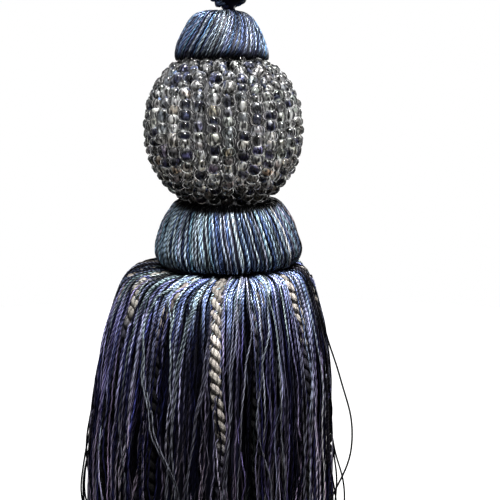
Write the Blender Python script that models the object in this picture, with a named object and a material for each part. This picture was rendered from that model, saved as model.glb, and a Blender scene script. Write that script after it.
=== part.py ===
"""Beaded tassel on a hanging loop, in metres, +Z up.

The origin is the inside of the loop's top, where the tassel hangs, so the rest lies below it.
From the top down: hanging loop, knot, neck, thread-covered cap, beaded ball, thread-covered
collar, and a skirt of fine threads with thicker twisted cords lying in its surface.
Angles run round the Z axis from the front (-Y) towards +X.
"""

import math
import random

import bmesh
import bpy
from mathutils import Matrix, Vector

MM = 0.001
CLEARANCE = 0.3 * MM  # between pieces that touch
SEED = 4

# The hanging cord, doubled through its knot
LOOP_CORD_DIAMETER = 1.5 * MM
LOOP_CORD_STEP = 3.2 * MM  # between the points of the tube
KNOT_TOP = -60.0 * MM
KNOT_HEIGHT = 7.4 * MM
KNOT_X = 1.6 * MM
KNOT_COLUMNS = 15
KNOT_TURNS = 3  # turns of cord that show round it
KNOT_GROOVE = 1.1 * MM
KNOT_LEAN = math.radians(14.0) / MM  # turn of those grooves for each metre of height
NECK_X = 1.2 * MM
NECK_COLUMNS = 12
NECK_GROOVE = 0.25 * MM
NECK_DEPTH_SHARE = 0.62  # two cords side by side: flatter front to back

# Levels of the moulds, below the hanging point
CAP_TOP = -68.6 * MM
CAP_HEIGHT = 9.7 * MM
BALL_CENTRE = -93.4 * MM
BALL_RADIUS = 17.2 * MM
BALL_FULLNESS = 2.2  # exponent of its outline: 2 is a round ball, more is squarer
BALL_HALF_HEIGHT = 14.8 * MM  # between the flat ends under the cap and on the collar
BALL_X = 0.3 * MM
BALL_LEVELS = 10
COLLAR_TOP = -108.5 * MM
COLLAR_HEIGHT = 14.1 * MM
COLLAR_X = 1.2 * MM
COLLAR_BOTTOM = COLLAR_TOP - COLLAR_HEIGHT

BEAD_STRANDS = 33
STRAND_GROOVE = 0.8 * MM  # how far the gaps between two strands of beads go in
CAP_RIBS = 17
COLLAR_RIBS = 20
RIB_DEPTH = 0.25 * MM
CAP_LEAN = math.radians(3.0) / MM  # turn of the threads' lay for each metre of height
COLLAR_LEAN = math.radians(-1.4) / MM

# Outlines, in millimetres: radius, height above the piece's lower end
KNOT_OUTLINE = ((1.9, 0.0), (3.7, 1.3), (4.5, 3.4), (4.1, 5.5), (2.2, 7.4))
NECK_OUTLINE = ((1.6, 0.0), (1.45, 0.3), (1.45, 0.6))
CAP_OUTLINE = ((9.2, 0.0), (10.1, 0.9), (9.6, 3.5), (7.6, 7.2), (5.9, 9.1), (4.0, 9.7))
COLLAR_OUTLINE = (
    (14.3, 0.0),
    (15.7, 0.6),
    (16.4, 2.7),
    (16.1, 5.2),
    (14.6, 9.4),
    (12.4, 12.9),
    (10.8, 14.1),
)

# The skirt's outline, in millimetres: drop below the collar, radius, centre's X
SKIRT_OUTLINE = (
    (0.3, 12.4, 1.0),
    (0.3, 13.6, 0.8),
    (0.4, 16.6, 0.2),
    (1.3, 19.3, -0.5),
    (3.3, 20.9, -1.0),
    (6.6, 22.2, -1.3),
    (13.6, 24.4, -1.6),
    (23.4, 26.2, -2.0),
    (33.4, 27.2, -2.5),
    (44.4, 27.9, -2.8),
    (60.0, 28.4, -2.9),
    (76.0, 28.6, -2.9),
    (91.5, 28.4, -2.9),
)
SKIRT_LEVELS = 16  # rings of the skirt between its top edge and its hem
HEM_NOTCH = 3.6 * MM  # how far the threads part above the hem, between two bundles
HEM_RAGGED = 1.4 * MM  # how far a bundle ends above or below the hem
HEM_HOLLOW = ((0.91, 3.0), (0.45, 5.5))  # share of the radius, millimetres above the hem
BUNDLE_WIDTH = 2.2 * MM  # from a bundle of threads to the groove beside it
BUNDLE_PROUD = 0.35 * MM
GROOVE_DEPTH = 0.45 * MM
BUNDLE_RADII = (16.6 * MM, 19.3 * MM)  # flat under the collar, bundled beyond

# The twisted cords in the skirt
SKIRT_CORD_DIAMETER = 2.4 * MM
CORD_START_RADIUS = 14.6 * MM  # under the collar's rim
SINK_AT_COLLAR = 1.35 * MM  # centre of the cord below the skirt's surface
SINK_BELOW = 0.5 * MM
SINK_RADII = (16.6 * MM, 21.0 * MM)  # the cord rises from one sink to the other between these
TROUGH_FLOOR = 1.35 * MM  # half widths of the trough that each cord lies in
TROUGH_SHOULDER = 2.35 * MM
TROUGH_CLEARANCE = 0.4 * MM  # below the cord, a little more where it sways
CORD_LEVELS = (0.3, 8.0, 16.0, 34.0, 91.5)  # drop below the collar, in millimetres
CORD_ANGLES = (  # degrees, a row for each cord, a column for each of those levels
    (-75, -72, -74, -77, -79),
    (-56, -51, -54, -57, -58),
    (-22, -27, -26, -25, -27),
    (1, 2, 2.4, 6.3, 6.5),
    (30, 25, 22, 22, 24),
    (52, 54, 54, 50, 47),
    (85, 82, 82, 84, 83),
    (112, 108, 110, 113, 111),
    (137, 139, 136, 135, 138),
    (164, 166, 168, 165, 163),
    (197, 194, 192, 195, 197),
    (224, 226, 228, 226, 223),
    (254, 256, 253, 250, 253),
)

# The loop's route, in millimetres: up the left leg, over the hanging point, down the right leg
LOOP_ROUTE = (
    (0.6, 0.0, -59.6),
    (0.2, 0.2, -55.0),
    (-0.9, 0.4, -48.0),
    (-2.7, 0.6, -38.0),
    (-4.5, 0.6, -27.0),
    (-6.1, 0.4, -16.0),
    (-6.4, 0.1, -8.5),
    (-4.9, -0.1, -2.7),
    (0.0, 0.0, 0.75),
    (4.9, 0.1, -2.7),
    (6.4, 0.0, -8.5),
    (6.3, -0.3, -16.0),
    (5.3, -0.6, -27.0),
    (4.3, -0.6, -38.0),
    (3.3, -0.4, -48.0),
    (2.8, -0.2, -55.0),
    (2.6, 0.0, -59.6),
)

# Finishes: colour, roughness, metallic
FINISHES = {
    "navy_cord": ((0.012, 0.016, 0.045), 0.5, 0.0),
    "blue_thread": ((0.075, 0.105, 0.19), 0.38, 0.0),
    "smoky_beads": ((0.12, 0.13, 0.16), 0.12, 0.0),
    "skirt_thread": ((0.035, 0.045, 0.10), 0.42, 0.0),
    "beige_cord": ((0.36, 0.31, 0.28), 0.6, 0.0),
}


def clear_scene():
    for obj in list(bpy.data.objects):
        bpy.data.objects.remove(obj, do_unlink=True)


def finish(name):
    colour, roughness, metallic = FINISHES[name]
    material = bpy.data.materials.new(name)
    material.use_nodes = True
    shader = material.node_tree.nodes["Principled BSDF"]
    shader.inputs["Base Color"].default_value = (*colour, 1.0)
    shader.inputs["Roughness"].default_value = roughness
    shader.inputs["Metallic"].default_value = metallic
    material.diffuse_color = (*colour, 1.0)
    return material


def smooth_curve(points, steps):
    """A Catmull-Rom curve through the points, with this many steps between each two."""
    points = [Vector(point) for point in points]
    ends = [2 * points[0] - points[1], *points, 2 * points[-1] - points[-2]]
    curve = []
    for before, start, end, after in zip(ends, ends[1:], ends[2:], ends[3:]):
        for step in range(steps):
            t = step / steps
            pull = (end - before) * t + (2 * before - 5 * start + 4 * end - after) * t**2
            pull += (3 * (start - end) + after - before) * t**3
            curve.append(start + pull / 2)
    return [*curve, points[-1]]


def spaced(curve, count):
    """The curve's points read again at equal distances, count steps in all."""
    travelled = [0.0]
    for start, end in zip(curve, curve[1:]):
        travelled.append(travelled[-1] + (end - start).length)
    even = []
    span = 0
    for step in range(count + 1):
        wanted = travelled[-1] * step / count
        while span < len(curve) - 2 and travelled[span + 1] < wanted:
            span += 1
        share = (wanted - travelled[span]) / (travelled[span + 1] - travelled[span])
        even.append(curve[span].lerp(curve[span + 1], min(share, 1.0)))
    return even


def read_row(levels, values, level):
    """A value read from a row of a table, eased between two of its levels."""
    for index in range(len(levels) - 1):
        if level <= levels[index + 1]:
            share = (level - levels[index]) / (levels[index + 1] - levels[index])
            share = max(share, 0.0)
            eased = share * share * (3 - 2 * share)
            return values[index] + (values[index + 1] - values[index]) * eased
    return values[-1]


def add_piece(name, bm, material, location=(0.0, 0.0, 0.0)):
    bmesh.ops.recalc_face_normals(bm, faces=bm.faces[:])
    mesh = bpy.data.meshes.new(name)
    bm.to_mesh(mesh)
    bm.free()
    mesh.shade_smooth()
    mesh.materials.append(material)
    obj = bpy.data.objects.new(name, mesh)
    obj.location = location
    bpy.context.scene.collection.objects.link(obj)
    return obj


def close_ends(bm):
    """Fills the two open rings of a body, each with a fan of faces."""
    rims = [edge for edge in bm.edges if edge.is_boundary]
    caps = bmesh.ops.holes_fill(bm, edges=rims, sides=0)["faces"]
    bmesh.ops.poke(bm, faces=caps)


def turned(outline, columns):
    """A closed body turned round Z from an outline of (radius, height) points."""
    bm = bmesh.new()
    verts = [bm.verts.new((point[0], 0.0, point[1])) for point in outline]
    edges = [bm.edges.new(pair) for pair in zip(verts, verts[1:])]
    bmesh.ops.spin(
        bm,
        geom=verts + edges,
        cent=(0, 0, 0),
        axis=(0, 0, 1),
        angle=math.tau,
        steps=columns,
        use_merge=True,
    )
    close_ends(bm)
    return bm


def rib(bm, count, depth, lean=0.0):
    """Presses this many grooves into a turned body, then lets them lean as they rise."""
    widest = max(vert.co.xy.length for vert in bm.verts)
    for vert in bm.verts:
        radius = vert.co.xy.length
        if radius < MM:
            continue
        angle = math.atan2(vert.co.y, vert.co.x)
        groove = depth * (0.5 - 0.5 * math.cos(count * angle)) * radius / widest
        vert.co.xy *= (radius - groove) / radius
        vert.co.rotate(Matrix.Rotation(lean * vert.co.z, 3, "Z"))


def make_outline(rows, steps):
    return [point * MM for point in smooth_curve(rows, steps)]


def make_knot(material):
    """The overhand knot's outer form: a full body with three slanted turns of cord round it."""
    bm = turned(make_outline(KNOT_OUTLINE, 2), KNOT_COLUMNS)
    rib(bm, KNOT_TURNS, KNOT_GROOVE, KNOT_LEAN)
    return add_piece("hanger_knot", bm, material, (KNOT_X, 0, KNOT_TOP - KNOT_HEIGHT))


def make_neck(material):
    """The two legs of the cord between the knot and the cap."""
    bm = turned(make_outline(NECK_OUTLINE, 1), NECK_COLUMNS)
    rib(bm, 2, NECK_GROOVE)
    for vert in bm.verts:
        vert.co.y *= NECK_DEPTH_SHARE
    return add_piece("hanger_neck", bm, material, (NECK_X, 0, CAP_TOP + CLEARANCE))


def make_cap(material):
    bm = turned(make_outline(CAP_OUTLINE, 2), 2 * CAP_RIBS)
    rib(bm, CAP_RIBS, RIB_DEPTH, CAP_LEAN)
    return add_piece("upper_cap", bm, material, (0, 0, CAP_TOP - CAP_HEIGHT))


def make_ball(material):
    """The ball of beads: strands side by side, from under the cap down to the collar."""
    outline = []
    for level in range(BALL_LEVELS + 1):
        height = BALL_HALF_HEIGHT * (2 * level / BALL_LEVELS - 1)
        share = abs(height / BALL_RADIUS) ** BALL_FULLNESS
        outline.append((BALL_RADIUS * (1 - share) ** (1 / BALL_FULLNESS), height))
    bm = turned(outline, 2 * BEAD_STRANDS)
    rib(bm, BEAD_STRANDS, STRAND_GROOVE)
    return add_piece("bead_ball", bm, material, (BALL_X, 0, BALL_CENTRE))


def make_collar(material):
    bm = turned(make_outline(COLLAR_OUTLINE, 2), 2 * COLLAR_RIBS)
    rib(bm, COLLAR_RIBS, RIB_DEPTH, COLLAR_LEAN)
    return add_piece("lower_collar", bm, material, (COLLAR_X, 0, COLLAR_BOTTOM))


def skirt_levels():
    """The skirt's outline read at even steps: drop, radius, centre's X and outward normal."""
    curve = spaced(make_outline(SKIRT_OUTLINE[1:], 8), SKIRT_LEVELS)
    curve.insert(0, Vector(SKIRT_OUTLINE[0]) * MM)
    levels = []
    for index, (drop, radius, centre) in enumerate(curve):
        before = curve[max(index - 1, 0)]
        after = curve[min(index + 1, len(curve) - 1)]
        along = Vector((after[1] - before[1], before[0] - after[0])).normalized()
        levels.append((drop, radius, centre, Vector((-along.y, along.x))))
    return levels


def on_skirt(level, angle, height):
    """A point of the skirt at this level and angle, this far out from its surface."""
    drop, radius, centre, normal = level
    out = radius + normal.x * height
    down = -drop + normal.y * height
    return Vector((centre + out * math.sin(angle), -out * math.cos(angle), down))


def cord_angle(number, drop):
    """Where a cord lies round the skirt, in radians. Cord 13 is cord 0, a whole turn on."""
    turns, row = divmod(number, len(CORD_ANGLES))
    degrees = read_row(CORD_LEVELS, CORD_ANGLES[row], drop / MM)
    return math.radians(degrees + 360 * turns)


def share_between(limits, radius):
    low, high = limits
    return min(max((radius - low) / (high - low), 0.0), 1.0)


def cord_sink(radius):
    share = share_between(SINK_RADII, radius)
    return SINK_AT_COLLAR + (SINK_BELOW - SINK_AT_COLLAR) * share


def skirt_columns(dice):
    """The skirt's upright lines: cord before it, side step, share of the gap, height, raggedness.

    A height of None is the floor of a cord's trough.
    """
    columns = []
    for number in range(len(CORD_ANGLES)):
        for side, height in ((-TROUGH_SHOULDER, 0.0), (-TROUGH_FLOOR, None)):
            columns.append((number, side, 0.0, height, 0.0))
        for side, height in ((TROUGH_FLOOR, None), (TROUGH_SHOULDER, 0.0)):
            columns.append((number, side, 0.0, height, 0.0))
        hem = CORD_LEVELS[-1] * MM
        hem_radius = SKIRT_OUTLINE[-1][1] * MM
        gap = (cord_angle(number + 1, hem) - cord_angle(number, hem)) * hem_radius
        pairs = max(1, round((gap - 2 * TROUGH_SHOULDER) / (2 * BUNDLE_WIDTH)))
        for index in range(2 * pairs - 1):
            share = (index + 1 + dice.uniform(-0.2, 0.2)) / (2 * pairs)
            ragged = HEM_RAGGED * dice.uniform(-1.0, 1.0)
            proud = BUNDLE_PROUD
            if index % 2 == 1:
                proud = -GROOVE_DEPTH
                ragged += HEM_NOTCH
            height = proud * dice.uniform(0.6, 1.4)
            columns.append((number, TROUGH_SHOULDER, share, height, ragged))
    return columns


def skirt_ring(level, columns, trough):
    """The points of one level of the skirt, a point for each column, with or without troughs."""
    drop, radius = level[:2]
    floor = -trough * (cord_sink(radius) + SKIRT_CORD_DIAMETER / 2 + TROUGH_CLEARANCE)
    bundled = share_between(BUNDLE_RADII, radius)
    ring = []
    for number, side, share, height, ragged in columns:
        start = cord_angle(number, drop)
        gap = cord_angle(number + 1, drop) - start - 2 * TROUGH_SHOULDER / radius
        angle = start + side / radius + share * gap
        point = on_skirt(level, angle, floor if height is None else height * bundled)
        if drop >= CORD_LEVELS[-1] * MM:
            point.z += ragged
        ring.append(point)
    return ring


def hem_ring(level, ring, share, rise):
    """A ring inside the hem, so that the skirt's underside is slightly hollow."""
    drop, _, centre, _ = level
    middle = Vector((centre, 0.0, 0.0))
    inner = []
    for point in ring:
        moved = middle + (point - middle) * share
        moved.z = rise * MM - drop
        inner.append(moved)
    return inner


def stack_rings(rings):
    """A closed body through rings of points, each ring extruded from the one above it."""
    bm = bmesh.new()
    bmesh.ops.create_circle(bm, segments=len(rings[0]), radius=1.0)
    column = bm.verts.layers.int.new("column")
    edges = bm.edges[:]
    for index, vert in enumerate(bm.verts):
        vert[column] = index
        vert.co = rings[0][index]
    for ring in rings[1:]:
        grown = bmesh.ops.extrude_edge_only(bm, edges=edges)["geom"]
        edges = [item for item in grown if isinstance(item, bmesh.types.BMEdge)]
        for vert in (item for item in grown if isinstance(item, bmesh.types.BMVert)):
            vert.co = ring[vert[column]]
    close_ends(bm)
    return bm


def make_skirt(material):
    """The skirt as one body: bundles of threads, a trough for each cord, and a ragged hem."""
    columns = skirt_columns(random.Random(SEED))
    levels = skirt_levels()
    rings = [skirt_ring(levels[0], columns, trough=0)]
    rings += [skirt_ring(level, columns, trough=1) for level in levels[1:]]
    hem = rings[-1]
    for share, rise in HEM_HOLLOW:
        rings.append(hem_ring(levels[-1], hem, share, rise))
    return add_piece("skirt", stack_rings(rings), material, (0, 0, COLLAR_BOTTOM))


def make_tube(name, points, diameter, material):
    curve = bpy.data.curves.new(name, "CURVE")
    curve.dimensions = "3D"
    curve.bevel_depth = diameter / 2
    curve.bevel_resolution = 2
    curve.use_fill_caps = True
    curve.render_resolution_u = 0
    spline = curve.splines.new("POLY")
    spline.points.add(len(points) - 1)
    for target, point in zip(spline.points, points):
        target.co = (*point, 1.0)
    spline.use_smooth = True
    curve.materials.append(material)
    obj = bpy.data.objects.new(name, curve)
    bpy.context.scene.collection.objects.link(obj)
    return obj


def make_skirt_cords(material):
    """The twisted cords, each from under the collar's rim to the hem, along its trough."""
    levels = [level for level in skirt_levels() if level[1] >= CORD_START_RADIUS]
    cords = []
    for number in range(len(CORD_ANGLES)):
        route = []
        for level in levels:
            point = on_skirt(level, cord_angle(number, level[0]), -cord_sink(level[1]))
            route.append(point + Vector((0, 0, COLLAR_BOTTOM)))
        name = f"skirt_cord_{number + 1:02d}"
        cords.append(make_tube(name, route, SKIRT_CORD_DIAMETER, material))
    return cords


def make_loop(material):
    fine = make_outline(LOOP_ROUTE, 12)
    length = sum((end - start).length for start, end in zip(fine, fine[1:]))
    route = spaced(fine, round(length / LOOP_CORD_STEP))
    return make_tube("hanger_loop", route, LOOP_CORD_DIAMETER, material)


def main():
    clear_scene()
    finishes = {name: finish(name) for name in FINISHES}
    pieces = [
        make_loop(finishes["navy_cord"]),
        make_knot(finishes["navy_cord"]),
        make_neck(finishes["navy_cord"]),
        make_cap(finishes["blue_thread"]),
        make_ball(finishes["smoky_beads"]),
        make_collar(finishes["blue_thread"]),
        make_skirt(finishes["skirt_thread"]),
        *make_skirt_cords(finishes["beige_cord"]),
    ]
    tassel = bpy.data.objects.new("tassel", None)
    bpy.context.scene.collection.objects.link(tassel)
    for piece in pieces:
        piece.parent = tassel


main()
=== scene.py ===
"""Looks of the beaded tassel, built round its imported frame. Metres, +Z up, front towards -Y.

The origin is the inside of the loop's top, so the tassel lies below it. Angles run round the Z
axis from the front (-Y) towards +X. Every thread, cord and string is a line of points first, and
one curve object then gives all the lines of a piece their round section.
"""

import math

import bmesh
import bpy
import numpy as np
from mathutils import Matrix, Vector


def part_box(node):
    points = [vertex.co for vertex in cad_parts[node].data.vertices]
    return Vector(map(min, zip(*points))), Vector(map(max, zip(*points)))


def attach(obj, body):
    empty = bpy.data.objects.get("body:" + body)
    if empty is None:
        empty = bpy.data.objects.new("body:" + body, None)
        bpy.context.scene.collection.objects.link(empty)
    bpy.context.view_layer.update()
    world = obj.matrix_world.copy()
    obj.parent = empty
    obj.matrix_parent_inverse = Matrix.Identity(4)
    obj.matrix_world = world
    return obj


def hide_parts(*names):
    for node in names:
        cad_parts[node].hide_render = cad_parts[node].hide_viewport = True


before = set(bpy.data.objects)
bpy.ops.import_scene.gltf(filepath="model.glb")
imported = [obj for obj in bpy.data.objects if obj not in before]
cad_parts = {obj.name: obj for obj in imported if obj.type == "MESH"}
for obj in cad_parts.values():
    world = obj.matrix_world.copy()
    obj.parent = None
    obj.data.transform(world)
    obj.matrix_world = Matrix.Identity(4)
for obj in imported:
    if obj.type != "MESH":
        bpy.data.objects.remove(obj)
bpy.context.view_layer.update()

MM = 0.001
TURN = 2 * math.pi
DICE = np.random.default_rng(11)
GOLDEN = 0.618034
MOST_TURNS = 40.0  # of twist, by which one thread starts ahead of another
THREAD_SIZES = (0.85, 1.15)  # the finest and the thickest thread, of its piece's usual radius

# Places of the pieces, from the frame. Each middle is a little to the right of its solid's
CAP_LOW, CAP_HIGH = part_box("upper_cap")
BALL_LOW, BALL_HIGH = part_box("bead_ball")
COLLAR_LOW, COLLAR_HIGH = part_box("lower_collar")
KNOT_LOW, KNOT_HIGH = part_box("hanger_knot")
CAP_X = (CAP_LOW.x + CAP_HIGH.x) / 2 + 0.18 * MM
BALL_X = (BALL_LOW.x + BALL_HIGH.x) / 2 + 0.2 * MM
COLLAR_X = (COLLAR_LOW.x + COLLAR_HIGH.x) / 2 + 0.2 * MM
KNOT_X = (KNOT_LOW.x + KNOT_HIGH.x) / 2 + 0.85 * MM
SKIRT_TOP = COLLAR_LOW.z

# The camera
EYE = (6.26 * MM, -179.94 * MM, -86.65 * MM)
TARGET = (6.26 * MM, 0.0, -120.0 * MM)
SENSOR = 36.0  # width, in millimetres
LENS = 58.95  # millimetres

LAMPS = (  # name, place, size, power, colour
    ("key", (0.105, -0.13, 0.435), 0.15, 12.2, (1.0, 1.0, 1.0)),
    ("front_fill", (0.1, -0.8, 0.0), 0.4, 0.2, (1.0, 1.0, 1.0)),
    ("left_fill", (-0.75, -0.1, 0.1), 0.5, 0.6, (0.9, 0.95, 1.0)),
    ("right_fill", (0.75, -0.1, 0.1), 0.5, 1.2, (1.0, 0.96, 0.9)),
    ("back_fill", (0.1, 0.8, 0.15), 0.5, 1.2, (1.0, 1.0, 1.0)),
)
LAMPS_AIM = (0.0, 0.0, -0.11)
FLOOR_HEIGHT = -0.75

# Cords whose plies are modelled
PLY_PLACES = {2: 0.19, 3: 0.27}  # from a cord's line to its plies', in diameters, by number of plies
PLY_REACH = 0.51  # and to their surface
PLY_FULLNESS = 1.05
PLY_SWELL = 0.06  # how much thicker and thinner a ply gets on the way
PLY_SWELLS = (18, 41)  # times that it does

# The loop's cord: up the left leg, over the hanging point and down the right leg, in millimetres
LOOP_ROUTE = (
    (0.6, 0.0, -59.6),
    (0.2, 0.2, -55.0),
    (-0.9, 0.4, -48.0),
    (-2.7, 0.6, -38.0),
    (-4.5, 0.6, -27.0),
    (-6.1, 0.4, -16.0),
    (-6.4, 0.1, -8.5),
    (-4.9, -0.1, -2.7),
    (0.0, 0.0, 0.75),
    (4.9, 0.1, -2.7),
    (6.4, 0.0, -8.5),
    (6.3, -0.3, -16.0),
    (5.3, -0.6, -27.0),
    (4.3, -0.6, -38.0),
    (3.3, -0.4, -48.0),
    (2.8, -0.2, -55.0),
    (2.6, 0.0, -59.6),
)
LOOP_DIAMETER = 1.5 * MM
LOOP_LAY = 3.4 * MM  # length in which a ply goes once round

# The knot: radius and height of its outline in millimetres, and how the doubled cord winds round it
KNOT_OUTLINE = ((1.6, 0.0), (3.0, 0.7), (4.3, 1.8), (4.7, 3.6), (4.2, 5.6), (2.2, 7.4))
KNOT_TURNS = 2.9
KNOT_START = 1.2  # angle, in radians
KNOT_LEAD = 0.085  # of one leg, as a share of the way, before a line midway between the two
KNOT_SLANT = (0.16, -0.08)  # rise to the right and to the back
KNOT_TOP_LEG = 1.0 * MM  # from the knot's middle to each leg that goes up to the loop
KNOT_LOW_LEG = 0.6 * MM  # and to each that goes down into the cap
KNOT_LOW_SHIFT = -0.4 * MM
KNOT_PLY = PLY_PLACES[3] * LOOP_DIAMETER  # a ply's radius, and its line's distance from the cord's
KNOT_CORE = 0.72  # radius of the dark core, which stands for the shade inside the knot, of the knot's
KNOT_PAINTED_LIGHT = ((1.8 * MM, 3.6 * MM), (1.0, 0.15))  # heights on it, and how much of its painted light the cord keeps: all at the foot, little higher up

# The skirt's outline, in millimetres: drop below the collar, radius, centre's X
SKIRT_OUTLINE = (
    (0.3, 13.6, 0.8),
    (0.4, 16.6, 0.2),
    (1.3, 19.3, -0.5),
    (3.3, 20.9, -1.0),
    (6.6, 22.2, -1.3),
    (13.6, 24.4, -1.6),
    (23.4, 26.2, -2.0),
    (33.4, 27.2, -2.5),
    (44.4, 27.9, -2.8),
    (60.0, 28.4, -2.9),
    (76.0, 28.6, -2.9),
    (91.5, 28.4, -2.9),
)

# The twisted cords in the skirt
CORD_DIAMETER = 2.4 * MM
CORD_LAY = 4.7 * MM
CORD_POINTS = 290
CORD_SINKS = (1.35 * MM, 0.5 * MM)  # centre below the skirt's surface, at the collar and beyond
CORD_SINK_RADII = (16.6 * MM, 21.0 * MM)  # of the skirt, where they lie that deep
CORD_LEVELS = (0.3, 8.0, 16.0, 34.0, 91.5)  # drop below the collar, in millimetres
CORD_ANGLES = (  # degrees, a row for each cord, a column for each of those levels
    (-75, -72, -74, -77, -79),
    (-56, -51, -54, -57, -58),
    (-22, -27, -26, -25, -27),
    (1, 2, 2.4, 6.3, 6.5),
    (30, 25, 22, 22, 24),
    (52, 54, 54, 50, 47),
    (85, 82, 82, 84, 83),
    (112, 108, 110, 113, 111),
    (137, 139, 136, 135, 138),
    (164, 166, 168, 165, 163),
    (197, 194, 192, 195, 197),
    (224, 226, 228, 226, 223),
    (254, 256, 253, 250, 253),
)

CORD_COVER = (  # share of the threads near a cord that lie over it, at the same levels
    (0.4, 0.8, 1.0, 1.0, 1.0),
    (0.25, 0.6, 1.0, 1.0, 1.0),
    (0.4, 0.85, 1.0, 1.0, 1.0),
    (0.0, 0.0, 0.12, 0.75, 1.0),
    (0.6, 0.9, 1.0, 1.0, 1.0),
    (0.15, 0.3, 0.6, 0.9, 1.0),
    (0.1, 0.6, 0.6, 0.4, 0.4),
    (0.3, 0.6, 0.9, 1.0, 1.0),
    (0.1, 0.2, 0.3, 0.6, 0.8),
    (0.4, 0.6, 0.9, 1.0, 1.0),
    (0.0, 0.1, 0.2, 0.4, 0.7),
    (0.4, 0.6, 0.8, 1.0, 1.0),
    (0.2, 0.4, 0.8, 1.0, 1.0),
)

# Painted light and shade along the cords. Cords are counted from 0, as in the rows above
CORD_PAINTED_LIGHT_LEVELS = (0.0, 0.07, 0.12, 0.18, 0.23, 0.32, 0.45, 1.0)  # share of a cord's length
BRIGHT_CORDS = (3, 8, 10)
CORD_PAINTED_LIGHT = {
    **dict.fromkeys(BRIGHT_CORDS, (0.26, 0.35, 0.75, 1.15, 0.6, 0.4, 0.05, 0.02)),
    4: (0.3, 0.35, 0.2, 0.10, 0.03, 0.001, 0.001, 0.001),
    5: (0.55, 0.8, 0.75, 0.42, 0.08, 0.004, 0.001, 0.001),
}
OTHER_CORD_PAINTED_LIGHT = (0.45, 0.6, 0.42, 0.10, 0.004, 0.001, 0.001, 0.001)
BURIED_CORD = 0.45 * MM  # how much deeper all but the bright ones lie
DEEP_SHADE_LEVEL = 0.3  # where a cord's painted shade is darker than this, it is tinted as well
DEEP_SHADE_TINT = (0.3, 0.25, -0.3)  # what a stretch in deep painted shade loses of its red, green and blue

# Paler strands on the skirt, each of one to three threads
STRAND_LEVELS = (0.5, 4.0, 9.0, 18.0, 28.0, 43.0, 91.5)  # drop below the collar, in millimetres
PALE_STRANDS = (  # threads, dye, degrees at each of those levels
    (2, (0.38, 0.48, 0.52), (-20, -33, -37, -33, -25, -12, -9)),
    (2, (0.34, 0.43, 0.46), (-22, -25, -21, -18, -15, -12, -10)),
    (2, (0.28, 0.36, 0.40), (-4, -8, -12, -15, -16, -17, -18)),
    (1, (0.24, 0.31, 0.34), (-39, -42, -44, -45, -44, -38, -36)),
    (2, (0.36, 0.44, 0.46), (30, 31, 33, 33, 34, 37, 37)),
    (1, (0.36, 0.42, 0.50), (32, 31, 30, 24, 21, 29, 31)),
    (1, (0.38, 0.40, 0.54), (18, 19, 20, 16, 14, 13, 12)),
    (2, (0.26, 0.26, 0.38), (2, 1, 0, -2, -5, -8, -9)),
    (2, (0.28, 0.29, 0.48), (44, 47, 49, 48, 48, 47, 46)),
    (2, (0.32, 0.34, 0.48), (15, 13, 11, 9, 10, 8, 8)),
    (2, (0.34, 0.42, 0.46), (105, 110, 112, 108, 104, 108, 111)),
    (3, (0.28, 0.30, 0.46), (128, 126, 121, 124, 128, 131, 128)),
    (2, (0.28, 0.36, 0.40), (150, 154, 156, 150, 147, 149, 153)),
    (2, (0.36, 0.45, 0.48), (181, 176, 174, 179, 184, 186, 183)),
    (3, (0.28, 0.29, 0.44), (207, 210, 213, 209, 206, 204, 207)),
    (2, (0.30, 0.38, 0.42), (238, 240, 236, 233, 237, 241, 239)),
    (2, (0.32, 0.34, 0.46), (266, 270, 272, 268, 264, 262, 265)),
)
STRAND_POINTS = 60
STRAND_THREAD = 0.19 * MM  # radius
STRAND_GAP = 0.8 * MM  # between a strand's threads, at most
STRAND_CROSSING = 7.0  # radians through which its threads cross over on the way down
STRAND_WAVE = 0.25 * MM
STRAND_DEPTHS = (0.2 * MM, 0.2 * MM)  # the usual one, and how much it wanders
STRAND_TONES = (0.75, 1.15)  # darkest and lightest thread, of the strand's dye
STRAND_PAINTED_LIGHT = ((0, 8, 16, 30, 92), (1.5, 1.2, 0.8, 0.55, 0.42))  # drops in millimetres, and painted light: lit on the shoulder, shaded lower down
STRAND_GREYS = ((6, 30), (0.0, 0.85))  # drops, and how far the dye has gone over to the grey
STRAND_GREY = (0.97, 0.96, 1.2)  # of the dye's mean

STRAYS = (  # degrees, drops in millimetres where it leaves the skirt and comes back, how far out
    (80, 5, 55.5, 5.1),
    (76, 12, 26, 0.5),
    (78, 22, 38, 0.7),
    (72, 34, 66, 1.9),
    (84, 33, 66, 3.2),
    (88, 30, 64, 1.4),
    (-82, 22, 52, 1.0),
    (-88, 28, 66, 2.4),
    (-76, 30, 62, 1.6),
    (-84, 36, 60, 1.5),
    (112, 20, 48, 2.4),
    (140, 26, 70, 2.0),
    (168, 14, 44, 2.6),
    (196, 30, 66, 1.8),
    (228, 18, 52, 2.2),
    (250, 28, 58, 1.6),
    (20, 40, 70, 1.0),
    (-30, 44, 76, 1.2),
)
STRAY_POINTS = 80
STRAY_THREAD = 0.21 * MM  # radius
STRAY_DEPTH = 0.15 * MM  # where it leaves the skirt
STRAY_SHADE = 0.06
STRAY_BELLY = 1.75  # above 1, a stray bows out farthest below its middle
STRAY_SLIMNESS = 1.35  # above 1, it leaves the skirt and comes back more gently
STRAY_WAVES = (1.2 * MM, 0.05 * MM)  # to the side, and in and out

# Painted light and shade round the skirt, by side
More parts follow.
